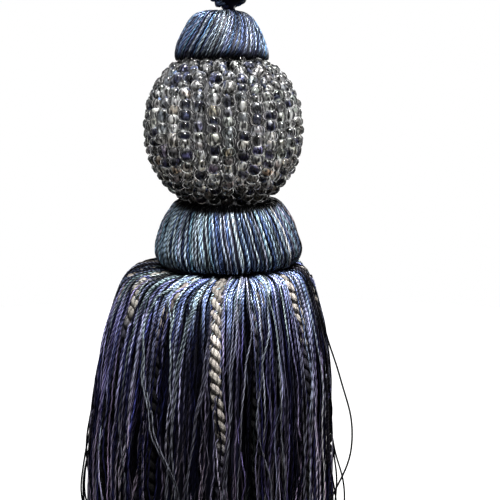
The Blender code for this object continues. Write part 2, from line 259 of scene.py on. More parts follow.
SIDES = (-180, -110, -60, -35, -20, 0, 20, 40, 60, 85, 120, 180)  # degrees round the skirt
SIDE_PAINTED_LIGHT = (0.7, 0.42, 0.45, 0.48, 0.9, 1.6, 1.7, 1.35, 0.95, 0.8, 0.6, 0.7)  # painted light on the shoulder
SIDE_PAINTED_SHADOW = (0.2, 0.5, 0.55, 0.6, 0.2, 0.05, 0.02, 0.12, 0.35, 0.3, 0.3, 0.2)  # share of threads painted dark, as if in shadow
SIDE_PAINTED_LIGHT_LOW = (1.0, 1.6, 2.3, 2.2, 1.3, 0.65, 0.6, 0.9, 1.25, 1.3, 1.1, 1.0)  # painted light farther down
LOW_TINTS = (  # share of a thread's length, and factors on its red, green and blue
    (0.08, 0.9, 1.02, 1.25),
    (0.2, 0.85, 0.97, 1.22),
    (0.32, 0.9, 0.95, 1.12),
    (0.47, 1.45, 1.42, 1.45),
)
COLLAR_SHADOW_ON_SKIRT = ((0.0, 0.015, 0.05), (0.2, 0.5, 1.0))  # shares of the length, and the collar's painted shadow on the threads under it
SHADOWED_THREAD = 0.12  # painted shade of a thread in shadow
LOW_SHADING = 0.45  # light and dark along a thread, farther down
PAINTED_SHADE_STARTS = (0.04, 0.11)  # share of its length at which painted shade starts to darken a thread
PAINTED_SHADE_REACHES = (0.05, 0.15)  # share of its length in which it does

THREAD_ASIDE = 1.5 * MM  # from a twisted cord's line to the line of a thread that touches it
CORD_REACH = 8 * MM  # how far from a cord the threads make way for it
OVER_CORD = 0.12 * MM  # from a cord's surface to the line of a thread that covers it
COVER_REACH = 1.3 * MM  # how far beside a cord's line such a thread is lifted
SWEEPS = (  # degrees round the skirt, reach, turn: where threads fan out under the collar
    (-14, 14, -9),
    (-60, 34, -12),
    (-110, 30, -6),
    (10, 7, -5),
    (24, 10, 4),
    (75, 20, 6),
    (120, 18, -7),
    (170, 20, 8),
    (215, 16, -8),
    (262, 20, 5),
)

# Name, threads, points on each, depths, bundles, drift, painted shades above and below, darker for
# deeper layers, how strongly the painted side light acts, and 1 where threads may lie over the twisted
# cords
SKIRT_LAYERS = (
    ("skirt_threads_outer", 235, 70, (0.25 * MM, 0.9 * MM), 120, 1.6 * MM, (1.0, 1.0), 1.0, 1.0),
    ("skirt_threads_middle", 280, 44, (0.9 * MM, 2.0 * MM), 100, 1.8 * MM, (0.5, 0.25), 3.0, 1.0),
    ("skirt_threads_inner", 240, 26, (2.4 * MM, 4.4 * MM), 90, 2.2 * MM, (0.1, 0.04), 3.0, 0.0),
)
THREAD_LAY = 1.7 * MM  # length in which a thread's two plies go once round
THREAD_LAYS = ((0.12, 0.35), (THREAD_LAY, 5.0 * MM))  # it untwists: shares of its length, lays
THREAD_LAY_SPREAD = (0.8, 1.25)  # shortest and longest, of those
THREAD_RADII = ((0.1, 0.3), (0.19 * MM, 0.17 * MM))  # shares of the length, radii
SKIRT_MIDDLE = 27 * MM  # the skirt's usual radius
HEM_SPREAD = 0.008  # of the threads' ends, as a share of their length
POINT_SPACING = 1.15  # above 1, a thread's points are closer together at its top
FANNED = 0.10  # share of their length in which threads fan out under the collar
DRIFT_ONSET = 1.2  # above 1, they drift aside more the farther down they are
WAVE_ONSET = 0.7  # below 1, they wave more from high up
LOOSENESS = (0.35, 1.3)  # of the tightest thread, and what the loosest one adds
GATHERING = (0.3, 0.95)  # how far threads draw in towards the middle of their bundle
GATHERED = (0.02, 0.5)  # share of their length where they start to, and in which they do
WAVE = 1.1 * MM  # how far a loose thread waves to the side
FINE_WAVE = 0.15 * MM
DEPTH_WAVE = 0.35 * MM
SHALLOWEST = 0.26 * MM  # depth of the outermost lines

# The thread ends inside the hem, and the dark body above them, which stands for the shade inside the
# skirt
FILLING_THREADS = 420
FILLING_THREAD = 0.25 * MM  # radius
FILLING_REACH = 24 * MM
FILLING_DROPS = (45, 46)  # millimetres from the collar to their upper ends, and their length
FILLING_SPREAD = 0.7  # of their lower ends, in millimetres
FILLING_WAVE = 0.6 * MM
# Painted shade of the filling threads, inside the skirt
FILLING_SHADE = 0.5
GROUND_SHARES = (0.02, 0.78)  # of the skirt's length, where the dark body starts and ends
GROUND_INSETS = (5.0 * MM, 1.2 * MM)  # to the side and down, inside the skirt's surface
HEM_X = -3.3 * MM
GROUND_X = -2.2 * MM

# Outlines of the thread-covered moulds, in millimetres: radius, height above the lower end
CAP_OUTLINE = (
    (7.6, -0.55),
    (9.2, -0.9),
    (10.15, 0.2),
    (9.75, 3.0),
    (7.6, 7.2),
    (5.9, 9.1),
    (4.0, 9.75),
    (2.0, 9.8),
    (1.4, 9.0),
)
COLLAR_OUTLINE = (
    (12.8, 0.5),
    (14.3, 0.0),
    (15.7, 0.6),
    (16.4, 2.7),
    (16.1, 5.2),
    (14.6, 9.4),
    (12.4, 12.9),
    (10.6, 14.1),
    (9.0, 14.0),
)

# The ball of beads
BEAD_STRANDS = 33
STRAND_PITCH = 0.97  # from strand to strand, in bead widths
STRAND_END = 0.55  # a strand ends where it has no more than this share of its room
BEAD_WIDTH = 2.95 * MM
BEAD_WIDTHS = (0.88, 1.04)  # times that width
NARROWEST_BEAD = 0.6  # times that, where its strand's room runs out
BEAD_HEIGHT = 2.0 * MM
BEAD_HEIGHTS = (0.8, 0.95, 1.1, 1.45)  # times that height
BEAD_HEIGHT_SHARES = (0.2, 0.4, 0.28, 0.12)
BEAD_FILL = 0.99  # how much of its room on the string a bead takes
BEAD_LEAN = 0.04  # sideways, for one along the string
BEAD_SHIFT = 0.07 * MM
BEADS_PROUD = 0.35 * MM  # of the solid's surface
FIRST_BEADS = (-0.4, 0.2)  # where a strand's first bead may start, in bead heights
LAST_BEAD = 0.3  # room that a strand's last bead needs, in bead heights
LINING_WIDTHS = (0.9, 1.15)  # times the bead's
BALL_FULLNESS = 2.2  # exponent of its outline: 2 is a round ball, more is squarer
BALL_TIP = 0.985  # height at which the outline stops, of its height at the axis
BALL_END_INSET = 0.35  # how much of an inset its flat ends get
BALL_RADIUS = (BALL_HIGH.x - BALL_LOW.x) / 2
BALL_HALF_HEIGHT = (BALL_HIGH.z - BALL_LOW.z) / 2
BALL_CENTRE = (BALL_HIGH.z + BALL_LOW.z) / 2
GLASS_RIM_PAINTED_GLOW = 3.4  # strength of the painted glow on a bead's rim

# Half a bead and half its lining, cut open: distance from the hole's middle, in bead widths, and
# height, in bead heights
BEAD_PROFILE = ((0.2, 0.5), (0.37, 0.46), (0.49, 0.2), (0.49, -0.2), (0.37, -0.46), (0.2, -0.5))
LINING_PROFILE = (
    (0.1, 0.43),
    (0.2, 0.37),
    (0.22, 0.22),
    (0.23, 0.0),
    (0.22, -0.22),
    (0.2, -0.37),
    (0.1, -0.43),
)
STRING_RADIUS = 0.3 * MM
STRING_LAY = 2.0 * MM

# Painted light and shade by height on the ball, and a warmer tint low down: heights, 0 at its foot and 1
# at its top, and values there
GLASS_PAINTED_SHADE = ((0.06, 0.14), (0.35, 1.0))
LINING_PAINTED_LIGHT = ((0.06, 0.14, 0.3, 0.5, 1.0), (0.6, 3.0, 2.8, 1.25, 1.9))
LINING_WARMTH = ((0.25, 0.55), (1.0, 0.0))
# Lightest a lining may be: kept darker at the top, a painted shade against the lamp there
LINING_LIGHTEST = ((0.5, 0.8), (0.62, 0.18))
BARE_PAINTED_LIGHT = ((0.06, 0.2, 0.6, 0.9), (0.15, 1.1, 1.0, 0.6))

# Dyes of the yarns and of the glass: linear colour, share
CAP_DYES = (
    ((0.050, 0.070, 0.140), 24),
    ((0.140, 0.175, 0.250), 26),
    ((0.270, 0.310, 0.380), 20),
    ((0.110, 0.220, 0.400), 14),
    ((0.240, 0.270, 0.470), 9),
    ((0.340, 0.420, 0.500), 4),
    ((0.130, 0.120, 0.145), 3),
)
COLLAR_DYES = (
    ((0.035, 0.055, 0.120), 22),
    ((0.165, 0.225, 0.310), 24),
    ((0.310, 0.390, 0.460), 26),
    ((0.170, 0.280, 0.370), 11),
    ((0.280, 0.290, 0.420), 8),
    ((0.440, 0.540, 0.570), 8),
    ((0.160, 0.140, 0.150), 2),
)
SHOULDER_LIT_DYES = (  # on the skirt's shoulder, made lighter there as painted light
    ((0.29, 0.39, 0.80), 28),
    ((0.43, 0.54, 0.88), 32),
    ((0.46, 0.67, 0.84), 13),
    ((0.37, 0.40, 0.88), 14),
    ((0.05, 0.06, 0.22), 6),
    ((0.34, 0.58, 0.72), 7),
)
LOWER_SHADED_DYES = (  # farther down, made darker as painted shade, the near-black ones for the shade between threads
    ((0.250, 0.222, 0.325), 25),
    ((0.105, 0.092, 0.190), 15),
    ((0.400, 0.370, 0.465), 18),
    ((0.010, 0.010, 0.033), 29),
    ((0.255, 0.210, 0.290), 6),
    ((0.330, 0.360, 0.410), 8),
)
BEIGE_DYES = (((0.55, 0.50, 0.45), 1),)
NAVY_DYES = (((0.012, 0.020, 0.060), 2), ((0.14, 0.22, 0.42), 1))
KNOT_DYES_AND_HIGHLIGHT = ((0.06, 0.08, 0.22), (0.9, 0.95, 1.0), (0.32, 0.46, 0.78))  # a dye for each ply; the near-white one is a painted highlight
GLASS_DYES = (
    ((0.96, 0.97, 0.94), 60),
    ((0.86, 0.89, 0.88), 18),
    ((0.84, 0.83, 0.92), 6),
    ((0.93, 0.88, 0.82), 16),
)
LINING_DYES = (
    ((0.008, 0.009, 0.022), 36),
    ((0.090, 0.096, 0.105), 26),
    ((0.300, 0.310, 0.295), 24),
    ((0.450, 0.460, 0.430), 10),
    ((0.090, 0.088, 0.150), 4),
    ((0.230, 0.200, 0.165), 6),
)

PALEST_DYE = 0.8  # as it comes
PALEST_GLASS = 0.98
PALEST_SKIRT = 0.95  # with a thread's shades on it
WARMER = (0.3, 0.04, -0.12)  # what a lining low on the ball gains of red, green and blue
BARE_DYE = (0.50, 0.51, 0.48)  # a bead's silvered hole where it has lost its lining
BARE_ENDS = 0.3  # bead heights from the middle to where it is lost most
BARE_SIDES = 0.1  # and to where it starts to be
BARE_SHARES = (0.95, 0.3)  # how much may be lost in those two places
PATCHES = (0.42, 0.5)  # light and dark from ring to ring, and from point to point

# Threads over the moulds, with painted light and shade: dark going into the top hole, a painted
# highlight on the shoulder, dark under the rim, and on the collar's top the ball's painted shadow. These
# are given at shares of a thread from the top hole to under the rim, and then once more round the mould,
# at the degrees in COVER_SIDES
COVER_SIDES = (-90, -60, -25, 20, 55, 90)
COVER_POINTS = 28
COVER_SINKS = (-0.1, 1.5)  # of the threads into the outline, in thread radii
COVER_WAVES = (0.35, 0.5)  # up and down, and to the side, in thread radii
COVER_SHADING = 0.4  # light and dark along a thread
COVER_LAYS = (0.75, 1.3)  # shortest and longest, of the cover's usual lay
CAP_COVER = {
    "outline": CAP_OUTLINE,
    "threads": 122,
    "radius": 0.152 * MM,
    "lay": 2.9 * MM,
    "lean": math.radians(2.5),  # turn round the mould, for a millimetre of height
    "inset": 0.75 * MM,  # how far inside the outline the mould's surface lies
    "dyes": CAP_DYES,
    "spread": 0.45,  # of light and dark from thread to thread
    "lightest": 0.5,
    "shades": ((0.0, 0.19, 0.3, 0.73, 0.79, 0.84, 1.0), (0.10, 0.17, 0.4, 1.65, 0.5, 0.01, 0.002)),
    "sides": (1.9, 1.8, 1.3, 0.9, 0.75, 0.75),
    "painted_shadow_shift": 0.0,  # share of a thread by which the painted shades come sooner at the sides
}
COLLAR_COVER = {
    "outline": COLLAR_OUTLINE,
    "threads": 156,
    "radius": 0.225 * MM,
    "lay": 3.0 * MM,
    "lean": math.radians(-0.6),
    "inset": 0.85 * MM,
    "dyes": COLLAR_DYES,
    "spread": 0.35,
    "lightest": 0.75,
    "shades": ((0.0, 0.19, 0.27, 0.72, 0.86, 1.0), (0.001, 0.001, 1.9, 1.7, 0.6, 0.03)),
    "sides": (1.8, 1.7, 1.15, 1.05, 0.75, 0.5),
    "painted_shadow_shift": 0.07,
}


# ---------------------------------------------------------------- lines


def smooth_line(points, count):
    """A smooth curve through the points, read at this many even places."""
    points = np.asarray(points, float)
    ends = np.vstack((2 * points[0] - points[1], points, 2 * points[-1] - points[-2]))
    t = np.linspace(0.0, 1.0, 17)[:-1, None]
    parts = []
    for before, start, end, after in zip(ends, ends[1:], ends[2:], ends[3:]):
        pull = (end - before) * t + (2 * before - 5 * start + 4 * end - after) * t**2
        pull += (3 * (start - end) + after - before) * t**3
        parts.append(start + pull / 2)
    return even_points(np.vstack((*parts, points[-1:])), count)


def even_points(line, count):
    travelled = lengths_along(line)
    return point_along(line, travelled, np.linspace(0.0, travelled[-1], count))


def point_along(line, travelled, distance):
    """The line's point, or points, this far along it."""
    return np.stack([np.interp(distance, travelled, column) for column in line.T], axis=-1)


def lengths_along(line):
    steps = np.linalg.norm(np.diff(line, axis=-2), axis=-1)
    start = np.zeros((*steps.shape[:-1], 1))
    return np.concatenate((start, np.cumsum(steps, axis=-1)), axis=-1)


def outward(outline):
    """The outward direction at each point of an outline of (radius, height)."""
    along = np.gradient(outline, axis=0)
    normal = np.stack((along[:, 1], -along[:, 0]), axis=1)
    normal = normal / np.linalg.norm(normal, axis=1)[:, None]
    return normal if normal[:, 0].mean() > 0 else -normal


def eased(values):
    values = np.clip(values, 0.0, 1.0)
    return values * values * (3 - 2 * values)


def around(radius, angle, height, centre=0.0):
    """Points at a radius, an angle from the front and a height, all of them arrays."""
    x = centre + radius * np.sin(angle)
    return np.stack(np.broadcast_arrays(x, -radius * np.cos(angle), height), axis=-1)


def spaced_round(count):
    """Angles of threads side by side all round, each a little out of its even place."""
    return TURN * (np.arange(count)[:, None] + DICE.uniform(-0.4, 0.4, (count, 1))) / count


def wander(count, points, waves):
    """Slow random waves, a row for each line, with an amplitude near 1."""
    along = np.linspace(0.0, 1.0, points)[None, :]
    total = np.zeros((count, points))
    for wave in waves:
        turns = wave * DICE.uniform(0.7, 1.3, (count, 1))
        total += np.sin(TURN * (turns * along + DICE.random((count, 1)))) / len(waves) ** 0.5
    return total


def twist_round(line, lay, plies, offset, start=0.0):
    """The lines of the plies that twist round one line, each at this offset from it."""
    line = np.asarray(line, float)
    along = np.gradient(line, axis=0)
    along /= np.linalg.norm(along, axis=1)[:, None]
    side = np.cross(along[0], (0.31, -0.9, 0.11))
    sides = []
    for direction in along:
        side = side - direction * side.dot(direction)
        side = side / np.linalg.norm(side)
        sides.append(side)
    sides = np.array(sides)
    others = np.cross(along, sides)
    turned = TURN * lengths_along(line) / lay + start
    lines = []
    for ply in range(plies):
        angle = turned + TURN * ply / plies
        lines.append(line + offset * (sides * np.cos(angle)[:, None] + others * np.sin(angle)[:, None]))
    return np.array(lines)


# ---------------------------------------------------------------- pieces


def add_object(name, mesh, material):
    mesh.materials.clear()
    mesh.materials.append(material)
    piece = bpy.data.objects.new(name, mesh)
    bpy.context.scene.collection.objects.link(piece)
    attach(piece, "root")
    return piece


def tube_mesh(name, lines, radii, sides):
    """One mesh of round tubes along lines (line, point, xyz), with a radius for each point."""
    count, points = lines.shape[:2]
    curve = bpy.data.curves.new(name, "CURVE")
    curve.dimensions = "3D"
    curve.bevel_depth = 1.0
    curve.bevel_resolution = (sides - 4) // 2
    homogeneous = np.concatenate((lines, np.ones((count, points, 1))), axis=2)
    radii = np.broadcast_to(radii, (count, points))
    for line, radius in zip(homogeneous, radii):
        spline = curve.splines.new("POLY")
        spline.points.add(points - 1)
        spline.points.foreach_set("co", line.astype(np.float32).ravel())
        spline.points.foreach_set("radius", radius.astype(np.float32).copy())
        spline.use_smooth = True
    carrier = bpy.data.objects.new(name + ".lines", curve)
    bpy.context.scene.collection.objects.link(carrier)
    bpy.context.view_layer.update()
    shown = carrier.evaluated_get(bpy.context.evaluated_depsgraph_get())
    mesh = bpy.data.meshes.new_from_object(shown)
    bpy.data.objects.remove(carrier)
    bpy.data.curves.remove(curve)
    bm = bmesh.new()
    bm.from_mesh(mesh)
    rims = [edge for edge in bm.edges if edge.is_boundary]
    bmesh.ops.holes_fill(bm, edges=rims, sides=sides)
    bm.to_mesh(mesh)
    bm.free()
    mesh.name = name
    return mesh


def make_yarn(name, lines, radii, dyes, lay, material, sides=4):
    """A piece of many threads. Its UV map counts turns of twist along a thread, and goes 0 to 1
    round it. Its attribute "dye" holds the threads' colours, with any painted light and shade in them."""
    count, points = lines.shape[:2]
    mesh = tube_mesh(name, lines, radii, sides)
    corner = np.empty(len(mesh.loops), np.int32)
    mesh.loops.foreach_get("vertex_index", corner)
    line_of, rest = np.divmod(corner, points * sides)
    turns = np.cumsum(np.diff(lengths_along(lines), axis=1, prepend=0.0) / lay, axis=1)
    turns = turns + DICE.uniform(0.0, MOST_TURNS, (count, 1))
    layer = mesh.uv_layers[0].uv
    uv = np.empty(len(corner) * 2, np.float32)
    layer.foreach_get("vector", uv)
    uv = uv.reshape(-1, 2)
    uv[:, 0] = turns[line_of, rest // sides]
    layer.foreach_set("vector", uv.ravel())
    if dyes.ndim == 2:
        dyes = np.broadcast_to(dyes[:, None, :], (count, points, 3))
    colours = np.concatenate((dyes, np.ones((count, points, 1))), axis=2)
    colours = np.repeat(colours.reshape(-1, 4), sides, axis=0)
    dye = mesh.attributes.new("dye", "FLOAT_COLOR", "POINT")
    dye.data.foreach_set("color", colours.astype(np.float32).ravel())
    mesh.shade_smooth()
    return add_object(name, mesh, material)


def pick_dyes(table, count, spread=0.25, hue=0.06):
    """A dye for each thread, picked by share, a little lighter or darker each time."""
    colours = np.array([row[0] for row in table])
    shares = np.array([row[1] for row in table], float)
    picked = colours[DICE.choice(len(table), count, p=shares / shares.sum())]
    shade = np.exp(DICE.normal(0.0, spread, (count, 1)) + DICE.normal(0.0, hue, (count, 3)))
    return np.clip(picked * shade, 0.0, PALEST_DYE)


def capped(dyes, lightest):
    """Dyes no lighter than this, their hue kept."""
    return dyes * np.minimum(1.0, lightest / np.maximum(dyes.max(axis=-1, keepdims=True), 1e-6))


def turned_mesh(name, outline, columns, poked=False):
    """A closed shape turned round the Z axis from an outline of (radius, height)."""
    bm = bmesh.new()
    verts = [bm.verts.new((radius, 0.0, height)) for radius, height in outline]
    edges = [bm.edges.new(pair) for pair in zip(verts, verts[1:])]
    spun = {"cent": (0, 0, 0), "axis": (0, 0, 1), "angle": TURN, "steps": columns}
    bmesh.ops.spin(bm, geom=verts + edges, use_merge=True, **spun)
    rims = [edge for edge in bm.edges if edge.is_boundary]
    ends = bmesh.ops.holes_fill(bm, edges=rims, sides=0)["faces"]
    if poked:
        bmesh.ops.poke(bm, faces=ends)
    bmesh.ops.recalc_face_normals(bm, faces=bm.faces[:])
    mesh = bpy.data.meshes.new(name)
    bm.to_mesh(mesh)
    bm.free()
    return mesh


def turned_body(name, outline, columns, material, place):
    mesh = turned_mesh(name, outline, columns, poked=True)
    mesh.transform(Matrix.Translation(place))
    mesh.shade_smooth()
    add_object(name, mesh, material)


# ---------------------------------------------------------------- finishes


def add_node(tree, kind, inputs=None, **settings):
    """A node with these settings, and these values or links on its inputs."""
    node = tree.nodes.new(kind)
    for name, value in settings.items():
        setattr(node, name, value)
    for name, value in (inputs or {}).items():
        if isinstance(value, bpy.types.NodeSocket):
            tree.links.new(value, node.inputs[name])
        else:
            node.inputs[name].default_value = value
    return node


def calculate(tree, operation, *values):
    node = add_node(tree, "ShaderNodeMath", dict(enumerate(values)), operation=operation)
    return node.outputs[0]


def multiply(tree, value, factor):
    return calculate(tree, "MULTIPLY", value, factor)


def remap(tree, value, low, high, new_low, new_high):
    places = {"Value": value, "From Min": low, "From Max": high, "To Min": new_low, "To Max": new_high}
    return add_node(tree, "ShaderNodeMapRange", places).outputs["Result"]


def shade_by(tree, value, share, low, high):
    """The value times low where the share is 0, and times high where it is 1."""
    return multiply(tree, value, remap(tree, share, 0.0, 1.0, low, high))


def scale_colour(tree, colour, factor):
    node = add_node(tree, "ShaderNodeVectorMath", {0: colour, "Scale": factor}, operation="SCALE")
    return node.outputs[0]


def new_group(name, inputs, outputs):
    tree = bpy.data.node_groups.new(name, "ShaderNodeTree")
    for label, kind, value in inputs:
        socket = tree.interface.new_socket(name=label, in_out="INPUT", socket_type=kind)
        if value is not None:
            socket.default_value = value
    for label, kind in outputs:
        tree.interface.new_socket(name=label, in_out="OUTPUT", socket_type=kind)
    return tree, tree.nodes.new("NodeGroupInput").outputs, tree.nodes.new("NodeGroupOutput").inputs


def make_twist_group():
    """Plies twisted round each other: Height is 0 in the groove between two plies and 1 on a ply's
    crown, and Groove masks the painted shade in the groove.
    """
    tree, given, put = new_group(
        "twisted_plies",
        (
            ("Strand", "NodeSocketVector", None),
            ("Plies", "NodeSocketFloat", 2.0),
            ("Hand", "NodeSocketFloat", 1.0),
            ("Groove Width", "NodeSocketFloat", 0.7),
        ),
        (("Height", "NodeSocketFloat"), ("Groove", "NodeSocketFloat")),
    )
    strand = add_node(tree, "ShaderNodeSeparateXYZ", {0: given["Strand"]}).outputs
    along = multiply(tree, strand["X"], given["Hand"])
    phase = multiply(tree, calculate(tree, "ADD", along, strand["Y"]), given["Plies"])
    phase = multiply(tree, phase, math.pi)
    height = calculate(tree, "ABSOLUTE", calculate(tree, "SINE", phase))
    tree.links.new(height, put["Height"])
    start = multiply(tree, given["Groove Width"], 0.35)
    tree.links.new(remap(tree, height, start, given["Groove Width"], 1.0, 0.0), put["Groove"])
    return tree


def make_fibre_group():
    """Fine fibres along a thread, and slow changes of shade on the way."""
    tree, given, put = new_group(
        "spun_fibres",
        (
            ("Strand", "NodeSocketVector", None),
            ("Fineness", "NodeSocketFloat", 4.0),
            ("Length", "NodeSocketFloat", 1.0),
        ),
        (("Fibres", "NodeSocketFloat"), ("Shade", "NodeSocketFloat")),
    )
    strand = add_node(tree, "ShaderNodeSeparateXYZ", {0: given["Strand"]}).outputs
    angle = multiply(tree, strand["Y"], TURN)
    side = multiply(tree, calculate(tree, "SINE", angle), given["Fineness"])
    other = multiply(tree, calculate(tree, "COSINE", angle), given["Fineness"])
    along = calculate(tree, "DIVIDE", strand["X"], given["Length"])
    place = add_node(tree, "ShaderNodeCombineXYZ", {0: along, 1: side, 2: other}).outputs[0]
    fibres = add_node(tree, "ShaderNodeTexNoise", {"Vector": place, "Scale": 1.6, "Detail": 2.0})
    tree.links.new(remap(tree, fibres.outputs[0], 0.3, 0.7, 0.0, 1.0), put["Fibres"])
    slow = {"W": strand["X"], "Scale": 0.35, "Detail": 2.0}
    slow = add_node(tree, "ShaderNodeTexNoise", slow, noise_dimensions="1D")
    tree.links.new(remap(tree, slow.outputs[0], 0.3, 0.7, 0.0, 1.0), put["Shade"])
    return tree


def make_cloud_group():
    """Clouds over a piece. A rise below 1 draws them out into upright streaks."""
    tree, given, put = new_group(
        "clouds",
        (
            ("Place", "NodeSocketVector", None),
            ("Fineness", "NodeSocketFloat", 900.0),
            ("Detail", "NodeSocketFloat", 2.0),
            ("Rise", "NodeSocketFloat", 1.0),
        ),
        (("Clouds", "NodeSocketFloat"),),
    )
    stretch = add_node(tree, "ShaderNodeCombineXYZ", {0: 1.0, 1: 1.0, 2: given["Rise"]}).outputs[0]
    place = add_node(tree, "ShaderNodeVectorMath", {0: given["Place"], 1: stretch}, operation="MULTIPLY")
    noise = {"Vector": place.outputs[0], "Scale": given["Fineness"], "Detail": given["Detail"]}
    tree.links.new(add_node(tree, "ShaderNodeTexNoise", noise).outputs[0], put["Clouds"])
    return tree


def new_material(name, **plain):
    """A material, its tree and its shader, with these plain values on the shader's sockets."""
    material = bpy.data.materials.new(name)
    material.use_nodes = True
    shader = material.node_tree.nodes["Principled BSDF"]
    for label, value in plain.items():
        shader.inputs[label.replace("_", " ")].default_value = value
    return material, material.node_tree, shader.inputs


def place_group(tree, group, inputs):
    return add_node(tree, "ShaderNodeGroup", inputs, node_tree=group).outputs


def read_dye(tree):
    # The dye, with any painted light and shade in it
    return add_node(tree, "ShaderNodeAttribute", attribute_name="dye").outputs["Color"]


def add_bump(tree, shader, height, depth):
    bump = add_node(tree, "ShaderNodeBump", {"Height": height, "Distance": depth})
    tree.links.new(bump.outputs[0], shader["Normal"])


def place_clouds(tree, groups, fineness, detail, rise=1.0):
    place = add_node(tree, "ShaderNodeTexCoord").outputs["Object"]
    values = {"Place": place, "Fineness": fineness, "Detail": detail, "Rise": rise}
    return place_group(tree, groups["clouds"], values)["Clouds"]


def make_yarn_material(name, groups, twist, fibres, shades, fuzz, depth, roughness, **plain):
    """Dyed yarn, with shades along it and from fibre to fibre, and a painted shade from a ply's crown
    down into the groove. Fuzz is how much the fibres stand out, against the plies."""
    material, tree, shader = new_material(name, **plain)
    strand = add_node(tree, "ShaderNodeUVMap", uv_map="UVMap").outputs[0]
    plies = place_group(tree, groups["twist"], {"Strand": strand, **twist})
    spun = place_group(tree, groups["fibres"], {"Strand": strand, **fibres})
    shade = remap(tree, spun["Shade"], 0.0, 1.0, *shades[0])
    shade = shade_by(tree, shade, spun["Fibres"], *shades[1])
    # Painted shade in the grooves between plies
    shade = shade_by(tree, shade, plies["Groove"], *shades[2])
    tree.links.new(scale_colour(tree, read_dye(tree), shade), shader["Base Color"])
    dull = remap(tree, spun["Fibres"], 0.0, 1.0, roughness, roughness + 0.15)
    tree.links.new(dull, shader["Roughness"])
    height = calculate(tree, "MULTIPLY_ADD", spun["Fibres"], fuzz, plies["Height"])
    add_bump(tree, shader, height, depth)
    return material


def make_thread_material(name, groups, depth, groove_shade, roughness):
    """Rayon thread of two twisted plies. Groove shade is the painted shade in the grooves between them.
    """
    twist = {"Plies": 2.0, "Hand": -1.0, "Groove Width": 0.95}
    fibres = {"Fineness": 3.0, "Length": 0.8}
    shades = ((0.4, 1.7), (0.75, 1.25), (1.0, groove_shade))
    sheen = {"Metallic": 0.5, "Specular_IOR_Level": 0.15}
    return make_yarn_material(name, groups, twist, fibres, shades, 0.15, depth, roughness, **sheen)


def make_ply_material(name, groups, strands, depth, roughness, **plain):
    """Cord whose plies are modelled: the material has each ply's strands, and their fibres."""
    twist = {"Plies": strands, "Hand": 1.0}
    fibres = {"Fineness": 5.0, "Length": 0.25}
    # The last pair is a painted shade: lighter on a ply's crown, darker in the groove
    shades = ((0.7, 1.25), (0.45, 1.3), (1.15, 0.45))
    return make_yarn_material(name, groups, twist, fibres, shades, 0.8, depth, roughness, **plain)


def make_glass_material(groups):
    """Clear glass, with a painted glow on its rims in place of the light they would gather from the
    beads round them.
    """
    material, tree, shader = new_material(
        "clear_glass", Roughness=0.04, IOR=1.5, Transmission_Weight=1.0, Emission_Strength=GLASS_RIM_PAINTED_GLOW
    )
    dye = read_dye(tree)
    cloud = place_clouds(tree, groups, 900.0, 2.0)
    shade = remap(tree, cloud, 0.35, 0.65, 0.85, 1.0)
    tree.links.new(scale_colour(tree, dye, shade), shader["Base Color"])
    # Painted glow on the rims seen edge-on, none on the inside faces
    painted_rim_glow = add_node(tree, "ShaderNodeLayerWeight", {"Blend": 0.3}).outputs["Facing"]
    painted_rim_glow = calculate(tree, "POWER", painted_rim_glow, 6.5)
    painted_rim_glow = multiply(tree, painted_rim_glow, remap(tree, cloud, 0.4, 0.62, 0.1, 1.5))
    inside = add_node(tree, "ShaderNodeNewGeometry").outputs["Backfacing"]
    painted_rim_glow = shade_by(tree, painted_rim_glow, inside, 1.0, 0.0)
    tree.links.new(scale_colour(tree, dye, painted_rim_glow), shader["Emission Color"])
    add_bump(tree, shader, cloud, 0.02 * MM)
    return material


def make_lining_material(groups):
    """What lines a bead's hole: foil or dye, with clouds in it."""
    material, tree, shader = new_material("bead_lining", Metallic=0.7)
    cloud = place_clouds(tree, groups, 2000.0, 1.0, rise=0.4)
    shade = remap(tree, cloud, 0.4, 0.6, 0.12, 1.5)
    tree.links.new(scale_colour(tree, read_dye(tree), shade), shader["Base Color"])
    tree.links.new(remap(tree, cloud, 0.3, 0.7, 0.15, 0.4), shader["Roughness"])
    add_bump(tree, shader, cloud, 0.2 * MM)
    return material


def make_shadow_ground_material(name, groups, colour, fineness):
    """A near-black ground under threads and beads, standing for the shade between them, with upright
    streaks.
    """
    material, tree, shader = new_material(name, Roughness=0.6)
    streaks = place_clouds(tree, groups, fineness, 3.0, rise=0.05)
    shade = remap(tree, streaks, 0.35, 0.7, 0.3, 1.6)
    tree.links.new(scale_colour(tree, colour, shade), shader["Base Color"])
    add_bump(tree, shader, streaks, 0.3 * MM)
    return material


def make_finishes():
    groups = {"twist": make_twist_group(), "fibres": make_fibre_group(), "clouds": make_cloud_group()}
    return {
        "cap_thread": make_thread_material("slate_rayon", groups, 0.10 * MM, 0.1, 0.25),
        "collar_thread": make_thread_material("teal_rayon", groups, 0.12 * MM, 0.1, 0.25),
        "skirt_thread": make_thread_material("navy_rayon", groups, 0.12 * MM, 0.06, 0.27),
        "beige_cord": make_ply_material(
            "beige_cotton", groups, 4.0, 0.14 * MM, 0.7, Specular_IOR_Level=0.1
        ),
        "loop_cord": make_ply_material("navy_cord", groups, 3.0, 0.05 * MM, 0.3, Metallic=0.4),
        "bead_string": make_ply_material("bead_string", groups, 3.0, 0.03 * MM, 0.35),
        "bead_lining": make_lining_material(groups),
        "glass": make_glass_material(groups),
        "ball_mould": make_shadow_ground_material("shadow_dark_mould", groups, (0.005, 0.005, 0.007), 1200.0),
        "ground": make_shadow_ground_material("shadow_dark_ground", groups, (0.004, 0.004, 0.024), 900.0),
    }


# ---------------------------------------------------------------- the skirt's surface


